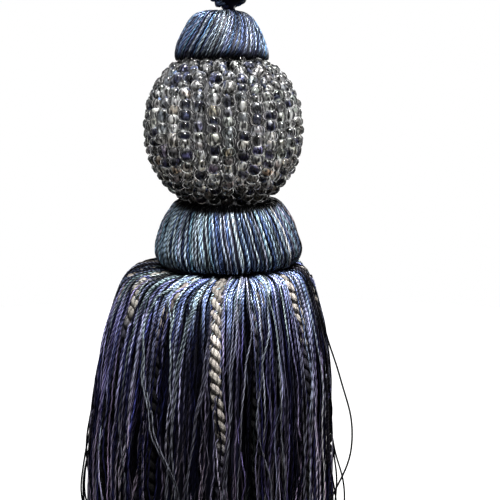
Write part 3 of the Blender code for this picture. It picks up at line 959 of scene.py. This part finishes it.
class SkirtSurface:
    """The skirt's outer surface, read by share of its length from under the collar to the hem."""

    def __init__(self, points=400):
        self.rows = smooth_line(np.array(SKIRT_OUTLINE) * MM, points)
        self.normals = outward(np.stack((self.rows[:, 1], -self.rows[:, 0]), axis=1))
        self.shares = np.linspace(0.0, 1.0, points)

    def read(self, share):
        columns = (*self.rows.T, *self.normals.T)
        return [np.interp(share, self.shares, column) for column in columns]

    def place(self, share, angle, depth):
        """Points this deep below the surface. A negative depth stands proud of it."""
        drop, radius, centre, out, up = self.read(share)
        height = SKIRT_TOP - drop - up * depth
        return around(np.maximum(radius - out * depth, 0.3 * MM), angle, height, centre)


SURFACE = SkirtSurface()


def read_row(levels, values, level):
    """Values read from a row of a table, eased between two of its levels."""
    span = np.clip(np.searchsorted(levels, level) - 1, 0, len(levels) - 2)
    levels, values = np.asarray(levels), np.asarray(values)
    share = eased((level - levels[span]) / (levels[span + 1] - levels[span]))
    return values[span] + (values[span + 1] - values[span]) * share


def cord_sink(number, radius):
    """How deep a twisted cord's centre lies below the skirt's surface, where that has this radius."""
    beyond = CORD_SINKS[1] + (0.0 if number in BRIGHT_CORDS else BURIED_CORD)
    return np.interp(radius, CORD_SINK_RADII, (CORD_SINKS[0], beyond))


def skirt_cord_line(number, angles, count):
    shares = np.linspace(0.0, 1.0, count)
    drop, radius = SURFACE.read(shares)[:2]
    angle = np.radians(read_row(CORD_LEVELS, angles, drop / MM))
    return SURFACE.place(shares, angle, cord_sink(number, radius))


# ---------------------------------------------------------------- camera, light, floor


def make_camera():
    data = bpy.data.cameras.new("camera")
    data.lens = LENS
    data.sensor_width = SENSOR
    data.clip_start = 0.01
    camera = bpy.data.objects.new("camera", data)
    camera.location = EYE
    camera.rotation_euler = (Vector(TARGET) - Vector(EYE)).to_track_quat("-Z", "Y").to_euler()
    bpy.context.scene.collection.objects.link(camera)
    bpy.context.scene.camera = camera


def add_light(name, place, size, power, colour):
    data = bpy.data.lights.new(name, "AREA")
    data.shape = "DISK"
    data.size = size
    data.energy = power
    data.color = colour
    lamp = bpy.data.objects.new(name, data)
    lamp.location = place
    aim = Vector(LAMPS_AIM) - Vector(place)
    lamp.rotation_euler = aim.to_track_quat("-Z", "Y").to_euler()
    bpy.context.scene.collection.objects.link(lamp)


def make_studio():
    """One soft lamp nearly overhead, weak fills, and a sky that shows in the glass."""
    for lamp in LAMPS:
        add_light(*lamp)
    world = bpy.data.worlds.new("studio")
    world.use_nodes = True
    tree = world.node_tree
    background = tree.nodes["Background"].inputs
    direction = add_node(tree, "ShaderNodeTexCoord").outputs["Generated"]
    height = add_node(tree, "ShaderNodeSeparateXYZ", {0: direction}).outputs["Z"]
    sky = remap(tree, height, -0.3, 0.7, 0.08, 0.95)
    sky = calculate(tree, "ADD", sky, remap(tree, height, 0.78, 0.9, 0.0, 2.5))
    rays = add_node(tree, "ShaderNodeLightPath").outputs
    sky = shade_by(tree, sky, rays["Is Diffuse Ray"], 1.0, 0.05)
    sky = shade_by(tree, sky, rays["Is Glossy Ray"], 1.0, 0.3)
    sky = calculate(tree, "MAXIMUM", sky, rays["Is Camera Ray"])
    tree.links.new(sky, background["Strength"])
    background["Color"].default_value = (1.0, 1.0, 1.0, 1.0)
    bpy.context.scene.world = world
    bpy.context.scene.view_settings.view_transform = "Standard"


def make_floor():
    """A pale round floor, well below the hanging tassel."""
    bm = bmesh.new()
    bmesh.ops.create_circle(bm, cap_ends=True, segments=64, radius=2.5)
    bmesh.ops.translate(bm, vec=(0, 0, FLOOR_HEIGHT), verts=bm.verts[:])
    mesh = bpy.data.meshes.new("floor")
    bm.to_mesh(mesh)
    bm.free()
    material, _, shader = new_material(
        "pale_floor", Base_Color=(0.9, 0.9, 0.9, 1.0), Roughness=0.9, Emission_Strength=1.0
    )
    shader["Emission Color"].default_value = (1.0, 1.0, 1.0, 1.0)
    mesh.materials.append(material)
    floor = bpy.data.objects.new("floor", mesh)
    floor.visible_diffuse = False
    floor.visible_glossy = False
    floor.visible_transmission = False
    bpy.context.scene.collection.objects.link(floor)


# ---------------------------------------------------------------- cords


def make_rope(name, line, diameter, lay, plies, dyes, material, sides=8, start=0.0):
    """A twisted cord with its plies modelled."""
    place = PLY_PLACES[plies]
    lines = twist_round(line, lay, plies, place * diameter, start)
    swell = PLY_FULLNESS + PLY_SWELL * wander(plies, lines.shape[1], PLY_SWELLS)
    radius = (PLY_REACH - place) * diameter * swell
    return make_yarn(name, lines, radius, dyes, lay, material, sides)


def declare_cord(node):
    """Hides the frame's solid for this node."""
    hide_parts(node)


def make_hanging_loop(finishes):
    line = smooth_line(np.array(LOOP_ROUTE) * MM, 330)
    dyes = pick_dyes(NAVY_DYES, 3)
    finish = finishes["loop_cord"]
    loop = make_rope("loop_cord", line, LOOP_DIAMETER, LOOP_LAY, 3, dyes, finish)
    declare_cord("hanger_loop")


def make_skirt_cords(finishes):
    """The twisted cords, with painted light under the collar and painted shade lower down, where threads
    cover them.
    """
    share = np.linspace(0.0, 1.0, CORD_POINTS)
    for number, angles in enumerate(CORD_ANGLES):
        line = skirt_cord_line(number, angles, CORD_POINTS)
        dyes = pick_dyes(BEIGE_DYES, 2, 0.06, 0.015)
        # Painted light and shade along the cord, tinted where the shade is deep
        painted_shade = np.interp(share, CORD_PAINTED_LIGHT_LEVELS, CORD_PAINTED_LIGHT.get(number, OTHER_CORD_PAINTED_LIGHT))
        deep_shade = 1 - eased(painted_shade / DEEP_SHADE_LEVEL)[None, :, None]
        cord = make_rope(
            f"beige_cord_{number + 1:02d}",
            line,
            CORD_DIAMETER,
            -CORD_LAY,
            2,
            dyes[:, None, :] * painted_shade[None, :, None] * (1 - deep_shade * DEEP_SHADE_TINT),
            finishes["beige_cord"],
            start=float(DICE.uniform(0, TURN)),
        )
        node = f"skirt_cord_{number + 1:02d}"
        declare_cord(node)


def knot_line(side):
    """One leg of the doubled cord: down from the loop, round the knot and into the cap."""
    reach, level = smooth_line(np.array(KNOT_OUTLINE) * MM, 60)[::-1].T
    share = np.linspace(0.0, 1.0, len(reach))
    along = share + KNOT_LEAD * side
    radius = np.interp(along, share, reach) - LOOP_DIAMETER / 2
    height = KNOT_LOW.z + np.interp(along, share, level)
    angle = TURN * KNOT_TURNS * share + KNOT_START
    wound = around(np.maximum(radius, 0.6 * MM), angle, height, KNOT_X)
    wound[:, 2] += KNOT_SLANT[0] * (wound[:, 0] - KNOT_X) + KNOT_SLANT[1] * wound[:, 1]
    x = KNOT_X + side * KNOT_TOP_LEG
    top = [(x, 0.2 * MM, KNOT_HIGH.z + 0.4 * MM), (x, 0.3 * MM, KNOT_HIGH.z - 0.9 * MM)]
    x = KNOT_X + KNOT_LOW_SHIFT + side * KNOT_LOW_LEG
    bottom = [(x, 0.0, KNOT_LOW.z + 0.6 * MM), (x, 0.0, CAP_HIGH.z - 1.2 * MM)]
    return smooth_line(np.vstack((top, wound[3:-3:3], bottom)), 260)


def make_knot(finishes):
    """The knot: the doubled cord is wound round itself, and its ends go down into the cap."""
    ropes = np.concatenate([twist_round(knot_line(side), LOOP_LAY, 3, KNOT_PLY) for side in (-1, 1)])
    # Painted highlight at the knot's foot: the pale ply is darkened higher up
    shade = np.interp(ropes[:, :, 2:] - KNOT_LOW.z, *KNOT_PAINTED_LIGHT)
    dyes = np.tile(KNOT_DYES_AND_HIGHLIGHT, (2, 1))[:, None, :] * shade
    finish = finishes["loop_cord"]
    knot = make_yarn("knot_cord", ropes, KNOT_PLY, dyes, LOOP_LAY, finish, sides=8)
    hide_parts("hanger_knot", "hanger_neck")
    core = [(radius * KNOT_CORE, height) for radius, height in KNOT_OUTLINE]
    core = np.array([(0.9, -1.6), *core, (0.9, KNOT_OUTLINE[-1][1] + 0.3)]) * MM
    place = (KNOT_X - 0.2 * MM, 0, KNOT_LOW.z)
    turned_body("knot_core", core, 24, finishes["ground"], place)


# ---------------------------------------------------------------- cap, collar, ball


def cover_lines(cover, centre, low):
    """Threads laid side by side over a mould, from its hole at the top to under its rim."""
    count = cover["threads"]
    radius = cover["radius"]
    rows = smooth_line(np.array(cover["outline"][::-1]) * MM, COVER_POINTS)
    normals = outward(rows)
    depth = 1.0 + DICE.uniform(*COVER_SINKS, (count, 1))
    depth = radius * (depth + COVER_WAVES[0] * wander(count, COVER_POINTS, (2, 4)))
    reach = rows[None, :, 0] - normals[None, :, 0] * depth
    height = rows[None, :, 1] - normals[None, :, 1] * depth
    angle = spaced_round(count) + cover["lean"] * rows[None, :, 1] / MM
    aside = COVER_WAVES[1] * radius * wander(count, COVER_POINTS, (1.2, 2.5))
    spread = aside / np.maximum(reach, 3 * MM)
    return around(reach, angle + spread, low + height, centre)


def make_cover(name, cover, centre, low, finish, node):
    """The threads over a mould, each in its own dye, with painted shade where they go into the hole and
    under, and painted light by side.
    """
    count = cover["threads"]
    dyes = pick_dyes(cover["dyes"], count, cover["spread"], 0.03)
    lines = cover_lines(cover, centre, low)
    radii = cover["radius"] * DICE.uniform(*THREAD_SIZES, (count, 1))
    angle = TURN * np.arange(count)[:, None] / count
    side = (np.degrees(angle) + 180) % 360 - 180
    # Painted light and shade along each thread, and by side round the mould
    share = np.linspace(0, 1, COVER_POINTS) + cover["painted_shadow_shift"] * (1 - np.cos(angle))
    shades = np.interp(share, *cover["shades"])
    shades = shades * np.exp(COVER_SHADING * wander(count, COVER_POINTS, (3, 8)))
    shades = shades * np.interp(side, COVER_SIDES, cover["sides"])
    dyes = capped(dyes[:, None, :] * shades[:, :, None], cover["lightest"])
    lay = cover["lay"] * DICE.uniform(*COVER_LAYS, (count, 1))
    piece = make_yarn(name, lines, radii, dyes, lay, finish, sides=6)
    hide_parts(node)


def make_mould(name, cover, centre, low, finish):
    """The mould that shows between a cover's threads, a little inside them, near-black as the shade
    between them.
    """
    rows = smooth_line(np.array(cover["outline"][1:-2]) * MM, 14)
    rows = rows - outward(rows) * cover["inset"]
    turned_body(name, rows, 48, finish, (centre, 0.0, low))


def make_cap_and_collar(finishes):
    for name, cover, centre, low, node in (
        ("cap", CAP_COVER, CAP_X, CAP_LOW.z, "upper_cap"),
        ("collar", COLLAR_COVER, COLLAR_X, COLLAR_LOW.z, "lower_collar"),
    ):
        make_cover(name + "_threads", cover, centre, low, finishes[name + "_thread"], node)
        make_mould(name + "_mould", cover, centre, low, finishes["ground"])


def ball_outline(inset, count):
    """The ball's outline, from the top down, this far inside the solid's surface."""
    height = np.linspace(1.0, -1.0, 600) * (BALL_RADIUS - inset) * BALL_TIP
    share = np.abs(height / (BALL_RADIUS - inset)) ** BALL_FULLNESS
    radius = (BALL_RADIUS - inset) * (1 - share) ** (1 / BALL_FULLNESS)
    kept = np.abs(height) < BALL_HALF_HEIGHT - BALL_END_INSET * inset
    return even_points(np.stack((radius, height), axis=1)[kept], count)


def strand_rooms(rows):
    """Each strand's room, 0 to 1, and its angle, at every row of the ball's outline. Fewer strands
    fit near the poles, so some end on the way there and their neighbours close up."""
    fitting = TURN * rows[:, 0] / (STRAND_PITCH * BEAD_WIDTH)
    order = np.argsort(np.argsort(np.arange(BEAD_STRANDS) * GOLDEN % 1.0))
    room = np.clip(fitting[None, :] - order[:, None], 0.001, 1.0)
    angle = TURN * (np.cumsum(room, axis=0) - room / 2) / room.sum(axis=0)
    even = TURN * (np.arange(BEAD_STRANDS)[:, None] + 0.5) / BEAD_STRANDS
    drift = (room * (angle - even)).sum(axis=0) / room.sum(axis=0)
    return room, angle - drift


def joined_copies(name, shape, places, dyes, finish):
    """One mesh of many copies of a small shape, with the colours of each copy's points in "dye", painted
    light and shade included.
    """
    whole = bmesh.new()
    for place in places:
        one = shape.copy()
        one.transform(place)
        whole.from_mesh(one)
        bpy.data.meshes.remove(one)
    mesh = bpy.data.meshes.new(name)
    whole.to_mesh(mesh)
    whole.free()
    dyes = np.broadcast_to(dyes, (len(places), len(shape.vertices), 3))
    colours = np.concatenate((dyes, np.ones((*dyes.shape[:2], 1))), axis=2)
    dye = mesh.attributes.new("dye", "FLOAT_COLOR", "POINT")
    dye.data.foreach_set("color", colours.astype(np.float32).ravel())
    mesh.shade_smooth()
    bpy.data.meshes.remove(shape)
    return add_object(name, mesh, finish)


def string_beads():
    """A place for each bead and for its lining, and the line of each string."""
    rows = ball_outline(BEAD_WIDTH / 2 - BEADS_PROUD, 240)
    travelled = lengths_along(rows)
    beads, linings, strings = [], [], []
    for room, angle in zip(*strand_rooms(rows)):
        line = around(rows[:, 0], angle, BALL_CENTRE + rows[:, 1], BALL_X)
        kept = travelled[room > STRAND_END]
        distance = kept[0] + DICE.uniform(*FIRST_BEADS) * BEAD_HEIGHT
        while distance < kept[-1] - LAST_BEAD * BEAD_HEIGHT:
            height = BEAD_HEIGHT * DICE.choice(BEAD_HEIGHTS, p=BEAD_HEIGHT_SHARES)
            middle = point_along(line, travelled, distance + height / 2)
            ahead = point_along(line, travelled, distance + height / 2 + 0.5 * MM)
            along = Vector((ahead - middle) / MM + DICE.normal(0, BEAD_LEAN, 3))
            middle = middle + DICE.normal(0, BEAD_SHIFT, 3)
            width = BEAD_WIDTH * DICE.uniform(*BEAD_WIDTHS)
            fitted = np.interp(distance, travelled, room)
            width = width * (NARROWEST_BEAD + (1 - NARROWEST_BEAD) * fitted)
            bore = width * DICE.uniform(*LINING_WIDTHS)
            place = Matrix.Translation(middle) @ along.to_track_quat("Z", "Y").to_matrix().to_4x4()
            beads.append(place @ Matrix.Diagonal((width, width, height * BEAD_FILL, 1.0)))
            linings.append(place @ Matrix.Diagonal((bore, bore, height * BEAD_FILL, 1.0)))
            distance += height
        strings.append(point_along(line, travelled, np.linspace(kept[0], kept[-1], 40)))
    return beads, linings, np.array(strings)


def make_glass_beads(beads, level, finish):
    shape = turned_mesh("bead", BEAD_PROFILE, 12)
    # Painted shade towards the ball's foot
    dyes = pick_dyes(GLASS_DYES, len(beads), 0.25, 0.02) * np.interp(level, *GLASS_PAINTED_SHADE)[:, None]
    dyes = np.minimum(dyes, PALEST_GLASS)
    piece = joined_copies("glass_beads", shape, beads, dyes[:, None, :], finish)
    piece.visible_shadow = False
    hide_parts("bead_ball")


def make_bead_linings(linings, level, finish):
    """What lines the beads' holes: a dye, worn to bare silver in patches towards its ends."""
    shape = turned_mesh("lining", LINING_PROFILE, 8)
    count = len(linings)
    heights = [vert.co.z for vert in shape.vertices]
    rings = np.unique(np.round(heights, 3), return_inverse=True)[1]
    # Painted light and shade by height on the ball
    dyes = pick_dyes(LINING_DYES, count, 0.3, 0.03) * np.interp(level, *LINING_PAINTED_LIGHT)[:, None]
    dyes = dyes * (1 + np.interp(level, *LINING_WARMTH)[:, None] * WARMER)
    patches = DICE.normal(0.0, PATCHES[0], (count, len(LINING_PROFILE)))[:, rings]
    patches = patches + DICE.normal(0.0, PATCHES[1], (count, len(rings)))
    heights = np.abs(heights)
    bare = np.select((heights > BARE_ENDS, heights > BARE_SIDES), BARE_SHARES)
    bare = (bare * DICE.random((count, len(LINING_PROFILE)))[:, rings])[:, :, None]
    # The bare silver's painted light and shade by height
    silver = np.interp(level, *BARE_PAINTED_LIGHT)[:, None, None] * BARE_DYE
    dyes = dyes[:, None, :] * (1 - bare) + silver * bare**1.5
    lightest = np.interp(level, *LINING_LIGHTEST)[:, None, None]
    dyes = np.minimum(dyes * np.exp(patches)[:, :, None], lightest)
    joined_copies("bead_linings", shape, linings, dyes, finish)


def make_ball(finishes):
    """Strands of glass beads side by side round a mould, and what lines their holes."""
    beads, linings, strings = string_beads()
    level = np.array([place.translation.z - BALL_LOW.z for place in beads])
    level = level / (BALL_HIGH.z - BALL_LOW.z)
    make_glass_beads(beads, level, finishes["glass"])
    make_bead_linings(linings, level, finishes["bead_lining"])
    dyes = pick_dyes(NAVY_DYES, len(strings))
    finish = finishes["bead_string"]
    make_yarn("bead_strings", strings, STRING_RADIUS, dyes, STRING_LAY, finish, sides=6)
    # The mould is near-black, as the shade between the strands
    former = ball_outline(BEAD_WIDTH + 0.05 * MM, 16)
    turned_body("ball_mould", former, 48, finishes["ball_mould"], (BALL_X, 0, BALL_CENTRE))


# ---------------------------------------------------------------- skirt


def pass_cords(angle, depth, share, may_cover):
    """Threads turned aside from the twisted cords, or lifted over them where they cover them."""
    drop, radius = SURFACE.read(share)[:2]
    for number, (angles, cover) in enumerate(zip(CORD_ANGLES, CORD_COVER)):
        cord = np.radians(read_row(CORD_LEVELS, angles, drop / MM))
        turned = (angle - cord + math.pi) % TURN - math.pi
        beside = turned * radius
        near = np.abs(beside) < CORD_REACH
        side = np.where(beside[:, 3:4] < 0, -1.0, 1.0)
        chance = DICE.random((len(angle), 1))
        over = eased((np.interp(drop / MM, CORD_LEVELS, cover) - chance) / 0.1) * may_cover
        over = np.maximum(over, eased(-side * beside / MM))
        kept = side * np.sqrt(beside**2 + THREAD_ASIDE**2)
        moved = beside * over + kept * (1 - over)
        angle = np.where(near, angle + (moved - beside) / radius, angle)
        lifted = cord_sink(number, radius) - CORD_DIAMETER / 2 - OVER_CORD
        lift = over * np.exp(-((moved / COVER_REACH) ** 2))
        depth = np.where(near, depth + (np.minimum(lifted, depth) - depth) * lift, depth)
    return angle, depth


def gather(start, bundles, share):
    """Angles of threads that draw together into bundles on the way down."""
    middles = np.sort(DICE.random(bundles)) * TURN
    middles = np.concatenate((middles - TURN, middles, middles + TURN))
    nearest = middles[np.abs(start - middles[None, :]).argmin(axis=1)][:, None]
    pull = DICE.uniform(*GATHERING, (len(start), 1)) * eased((share - GATHERED[0]) / GATHERED[1])
    return start + (nearest - start) * pull


def fan_out(start):
    """How far threads fan out under the collar, by where they start."""
    fan = np.zeros_like(start)
    for centre, reach, turn in SWEEPS:
        away = (start - math.radians(centre) + math.pi) % TURN - math.pi
        fan += math.radians(turn) * np.exp(-((away / math.radians(reach)) ** 2))
    return fan


def skirt_lines(count, points, depths, bundles, drift, may_cover):
    """Threads that fall from under the collar to the hem, and gather in loose bundles."""
    end = 1.0 + DICE.normal(0.0, HEM_SPREAD, (count, 1))
    share = np.linspace(0.0, 1.0, points)[None, :] ** POINT_SPACING * np.minimum(end, 1.0)
    start = spaced_round(count)
    angle = gather(start, bundles, share) + fan_out(start) * eased(share / FANNED)
    angle = angle + DICE.normal(0.0, drift, (count, 1)) * share**DRIFT_ONSET / SKIRT_MIDDLE
    loose = WAVE * (LOOSENESS[0] + LOOSENESS[1] * DICE.random((count, 1)) ** 2)
    angle = angle + loose * wander(count, points, (2.2, 4.5)) * share**WAVE_ONSET / SKIRT_MIDDLE
    angle = angle + FINE_WAVE * wander(count, points, (6.0, 11.0)) * eased(share * 4) / SKIRT_MIDDLE
    depth = DICE.uniform(*depths, (count, 1))
    depth = depth + DEPTH_WAVE * wander(count, points, (1.5, 3.0)) * eased(share * 2)
    angle, depth = pass_cords(angle, np.maximum(depth, SHALLOWEST), share, may_cover)
    return SURFACE.place(share, angle, depth), share


def skirt_dyes_and_painted_light(share, shades, side_light_power):
    """Each thread's colour along it: painted light on the shoulder, and painted shade from a quarter of
    the way.
    """
    count = len(share)
    side = (360 * np.arange(count) / count + 180) % 360 - 180
    # Painted light on the shoulder by side, more uneven for deeper layers
    shoulder_light = shades[0] * np.interp(side, SIDES, SIDE_PAINTED_LIGHT)[:, None, None] ** side_light_power
    top = pick_dyes(SHOULDER_LIT_DYES, count, 0.3, 0.03)[:, None, :] * shoulder_light
    low = pick_dyes(LOWER_SHADED_DYES, count, 0.5, 0.04)[:, None, :] * shades[1]
    low = low * np.interp(side, SIDES, SIDE_PAINTED_LIGHT_LOW)[:, None, None]
    levels, *tints = zip(*LOW_TINTS)
    low = low * np.stack([np.interp(share, levels, tint) for tint in tints], axis=2)
    start = DICE.uniform(*PAINTED_SHADE_STARTS, (count, 1))
    # Painted shade takes over from the lit shoulder colour on the way down
    painted_shade = eased((share - start) / DICE.uniform(*PAINTED_SHADE_REACHES, (count, 1)))[:, :, None]
    low = low * np.exp(LOW_SHADING * wander(count, share.shape[1], (1.5, 4.0)))[:, :, None]
    # Threads painted dark by side, as if in shadow
    shadowed = DICE.random(count) < np.interp(side, SIDES, SIDE_PAINTED_SHADOW)
    top = top * np.where(shadowed, SHADOWED_THREAD, 1.0)[:, None, None]
    # Painted shadow of the collar on the thread tops
    top = top * np.interp(share, *COLLAR_SHADOW_ON_SKIRT)[:, :, None]
    return capped(top * (1 - painted_shade) + low * painted_shade, PALEST_SKIRT)


def make_pale_strands(finish):
    """The paler strands that run down the skirt, each of a few threads side by side."""
    lines, dyes = [], []
    share = np.linspace(0.01, 1.0, STRAND_POINTS)
    drop, radius = SURFACE.read(share)[:2]
    for threads, dye, angles in PALE_STRANDS:
        middle = np.radians(read_row(STRAND_LEVELS, angles, drop / MM))
        for thread in range(threads):
            aside = (thread - (threads - 1) / 2) * STRAND_GAP
            aside = aside * np.cos(STRAND_CROSSING * share + DICE.uniform(0, 6))
            aside = aside + STRAND_WAVE * wander(1, STRAND_POINTS, (2.0, 5.0))[0] * share
            angle = middle + aside / radius
            depth = STRAND_DEPTHS[0] + STRAND_DEPTHS[1] * wander(1, STRAND_POINTS, (3.0,))[0]
            angle, depth = pass_cords(angle[None, :], depth[None, :], share[None, :], 1.0)
            lines.append(SURFACE.place(share, angle[0], depth[0]))
            # Painted light and shade down the strand
            painted_shade = np.interp(drop / MM, *STRAND_PAINTED_LIGHT)
            grey = np.interp(drop / MM, *STRAND_GREYS)[:, None]
            tone = np.array(dye) * (1 - grey) + np.mean(dye) * np.array(STRAND_GREY) * grey
            dyes.append(tone * painted_shade[:, None] * DICE.uniform(*STRAND_TONES))
    lines = np.array(lines)
    lays = np.interp(share, *THREAD_LAYS)
    make_yarn("skirt_pale_strands", lines, STRAND_THREAD, np.array(dyes), lays, finish)


def make_strays(finish):
    """Single threads that bow out from the skirt and come back to it lower down."""
    lines = []
    share = np.linspace(0.005, 1.0, STRAY_POINTS)
    drop, radius = SURFACE.read(share)[:2]
    for degrees, leaves, returns, out in STRAYS:
        along = np.clip((drop / MM - leaves) / (returns - leaves), 0.0, 1.0)
        bow = out * MM * np.sin(math.pi * along**STRAY_BELLY) ** STRAY_SLIMNESS
        waves = STRAY_WAVES[0] * wander(1, STRAY_POINTS, (1.5, 3.0))[0]
        angle = math.radians(degrees) + waves * share / radius
        depth = STRAY_DEPTH - bow - STRAY_WAVES[1] * wander(1, STRAY_POINTS, (9.0,))[0]
        lines.append(SURFACE.place(share, angle, depth))
    dyes = pick_dyes(LOWER_SHADED_DYES, len(lines), 0.3, 0.04) * STRAY_SHADE
    make_yarn("skirt_strays", np.array(lines), STRAY_THREAD, dyes, THREAD_LAY, finish)


def make_skirt_threads(finish):
    for name, count, points, depths, bundles, drift, shades, side_light_power, may_cover in SKIRT_LAYERS:
        lines, share = skirt_lines(count, points, depths, bundles, drift, may_cover)
        radii = DICE.uniform(*THREAD_SIZES, (count, 1)) * np.interp(share, *THREAD_RADII)
        lays = DICE.uniform(*THREAD_LAY_SPREAD, (count, 1)) * np.interp(share, *THREAD_LAYS)
        dyes = skirt_dyes_and_painted_light(share, shades, side_light_power)
        piece = make_yarn(name, lines, radii, dyes, lays, finish, sides=4)
        if name == "skirt_threads_outer":
            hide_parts("skirt")


def make_skirt_filling(finish):
    """The ends of the threads that fill the skirt, seen only at the hem."""
    count = FILLING_THREADS
    reach = FILLING_REACH * np.sqrt(DICE.random((count, 1)))
    angle = DICE.random((count, 1)) * TURN
    level = np.linspace(0.0, 1.0, 8)[None, :]
    drop = FILLING_DROPS[0] + FILLING_DROPS[1] * level
    drop = drop + DICE.normal(0, FILLING_SPREAD, (count, 1)) * level
    reach = reach + FILLING_WAVE * wander(count, level.size, (1.0,))
    lines = around(reach, angle, SKIRT_TOP - drop * MM, HEM_X)
    dyes = pick_dyes(LOWER_SHADED_DYES, count, 0.35) * FILLING_SHADE
    make_yarn("skirt_filling", lines, FILLING_THREAD, dyes, THREAD_LAY, finish)


def make_skirt_ground(finish):
    """A dark body inside the skirt, behind the threads, standing for the shade there."""
    shares = np.linspace(*GROUND_SHARES, 20)
    drop, radius = SURFACE.read(shares)[:2]
    radius = radius - GROUND_INSETS[0] * eased(shares * 12)
    outline = np.stack((radius, SKIRT_TOP - drop - GROUND_INSETS[1]), axis=1)
    turned_body("skirt_ground", outline, 64, finish, (GROUND_X, 0, 0))


# ---------------------------------------------------------------- all of it


def main():
    make_camera()
    finishes = make_finishes()
    make_hanging_loop(finishes)
    make_skirt_cords(finishes)
    make_knot(finishes)
    make_cap_and_collar(finishes)
    make_ball(finishes)
    make_skirt_threads(finishes["skirt_thread"])
    make_pale_strands(finishes["skirt_thread"])
    make_strays(finishes["skirt_thread"])
    make_skirt_filling(finishes["skirt_thread"])
    make_skirt_ground(finishes["ground"])
    make_studio()
    make_floor()


main()
